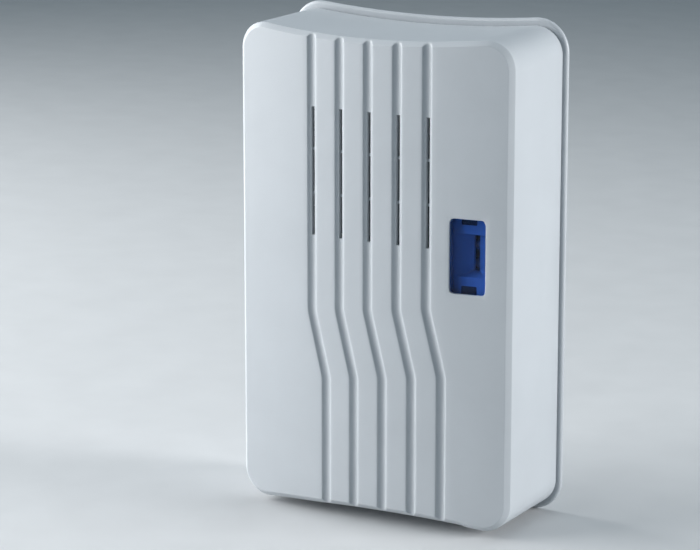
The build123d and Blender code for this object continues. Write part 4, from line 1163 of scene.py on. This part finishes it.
coil = grown(new_mesh_object("coil", [], []), coil_tree(), {
    "Turns": SPRING_TURNS, "Base radius": SPRING_BASE_RADIUS * MM, "Tip radius": SPRING_TIP_RADIUS * MM,
    "Height": SPRING_HEIGHT * MM, "Wire radius": WIRE_RADIUS * MM, "Finish": nickel,
})
coil.data.transform(Matrix.Translation((0, 0, SPRING_LIFT * MM)))
coil.data.shade_smooth()
springs = set_on_points("cone_springs", coil, SPRINGS, nickel)
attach(springs, "housing")
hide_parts("contact_springs")

bridge_z = [(slot_edges[k] + slot_edges[k + 1]) / 2 for k in (1, 3)]
bridge_sections = (
    (BRIDGE_ROUND, -BRIDGE_FRONT), (0.0, -BRIDGE_FRONT + BRIDGE_ROUND),
    (0.0, BRIDGE_BACK - BRIDGE_ROUND), (BRIDGE_ROUND, BRIDGE_BACK),
)
bridge = ring_solid("bridge", [
    rounded_ring((0, 0), (SLOT_HALF + BRIDGE_ROUND, SLOT_BRIDGE / 2 - inset), BRIDGE_ROUND, at_depth(depth))
    for inset, depth in bridge_sections
], False)
settle(bridge)
bridges = set_on_points("slot_bridges", bridge, [
    (u, bow_y(u) + SHELL_WALL - BRIDGE_SEAT, z, 0, 0) for u in GROOVE_PLACES for z in bridge_z
], housing_white)
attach(bridges, "housing")

# CAD nodes that keep their mesh and take a finish
node_finishes = {
    "window_lamps": clear_epoxy, "speaker_gasket": foam,
    "speaker_basket": steel_black, "speaker_top_plate": zinc, "speaker_magnet": ferrite,
    "speaker_yoke": zinc, "voice_coil": copper, "speaker_cone": cone_paper, "dust_cap": cone_paper,
    "speaker_surround": rubber, "speaker_washers": zinc, "cell_left": cell_jacket, "cell_middle": cell_jacket,
    "cell_right": cell_jacket, "contact_plates": nickel,
    "circuit_board": green_board, "radio_receiver": tin, "melody_chip": black_resin_and_painted_shade,
    "capacitor": sleeve, "crystal": tin, "antenna": copper, "speaker_socket": socket_white,
    "battery_socket": socket_white, "tact_switch": black_resin_and_painted_shade, "tact_plunger": key_grey,
    "slide_switch": tin, "slide_lever": black_resin_and_painted_shade,
}
for node, material in node_finishes.items():
    finish_with(nodes[node], material)

# Stage: pale floor, soft key light from the left, side light from the right, camera
FLOOR_REACH = 3.0
floor_mesh = bpy.data.meshes.new("floor")
floor_mesh.from_pydata(
    [(-FLOOR_REACH, -FLOOR_REACH, 0), (FLOOR_REACH, -FLOOR_REACH, 0),
     (FLOOR_REACH, FLOOR_REACH, 0), (-FLOOR_REACH, FLOOR_REACH, 0)],
    [], [(0, 1, 2, 3)],
)
floor = bpy.data.objects.new("floor", floor_mesh)
scene.collection.objects.link(floor)
finish_with(floor, plastic("pale floor", (0.62, 0.63, 0.64), 0.7, grain=60, depth=1e-5))

TARGET = Vector((0, -0.1, 65.53)) * MM


def add_light(name, azimuth, elevation, distance, size, power, colour):
    """Square soft light that looks at the object. Azimuth 0 is in front and 90 to the right."""
    data = bpy.data.lights.new(name, "AREA")
    data.size = size
    data.energy = power
    data.color = colour
    light = bpy.data.objects.new(name, data)
    turn, rise = radians(azimuth), radians(elevation)
    back = Vector((sin(turn) * cos(rise), -cos(turn) * cos(rise), sin(rise)))
    light.location = TARGET + back * distance
    light.rotation_euler = back.to_track_quat("Z", "Y").to_euler()
    scene.collection.objects.link(light)


NEUTRAL = (1.0, 1.0, 1.0)
COOL = (0.88, 0.95, 1.0)
add_light("key_light", azimuth=-70, elevation=12, distance=0.75, size=1.0, power=17.6, colour=NEUTRAL)
add_light("side_light", azimuth=104, elevation=14, distance=0.9, size=0.35, power=7.2, colour=NEUTRAL)
add_light("top_light", azimuth=180, elevation=72, distance=0.9, size=0.6, power=1.9, colour=COOL)
world = bpy.data.worlds.new("studio")
scene.world = world
world.use_nodes = True
world.node_tree.nodes["Background"].inputs["Color"].default_value = (0.25, 0.7, 1.0, 1)
world.node_tree.nodes["Background"].inputs["Strength"].default_value = 0.1
scene.view_settings.view_transform = "Standard"

# Camera fitted to the photograph, which is 700 pixels wide and 550 high
CAMERA_AZIMUTH = 29.06
CAMERA_PITCH = 13.27
CAMERA_DISTANCE = 842.5
FOCAL_PIXELS = 3016.0
SIDE_STEP = 13.33
RISE_STEP = -1.82
SENSOR = 36.0
PHOTO_WIDTH = 700
camera_data = bpy.data.cameras.new("camera")
camera_data.sensor_width = SENSOR
camera_data.sensor_fit = "HORIZONTAL"
camera_data.lens = FOCAL_PIXELS / PHOTO_WIDTH * SENSOR
camera_data.clip_end = 20
camera = bpy.data.objects.new("camera", camera_data)
azimuth, pitch = radians(CAMERA_AZIMUTH), radians(CAMERA_PITCH)
ahead = Vector((-sin(azimuth) * cos(pitch), cos(azimuth) * cos(pitch), -sin(pitch)))
rightward = Vector((cos(azimuth), sin(azimuth), 0))
upward = rightward.cross(ahead)
camera.location = TARGET - (ahead * CAMERA_DISTANCE + rightward * SIDE_STEP + upward * RISE_STEP) * MM
camera.rotation_euler = Matrix((rightward, upward, -ahead)).transposed().to_euler()
scene.collection.objects.link(camera)
scene.camera = camera
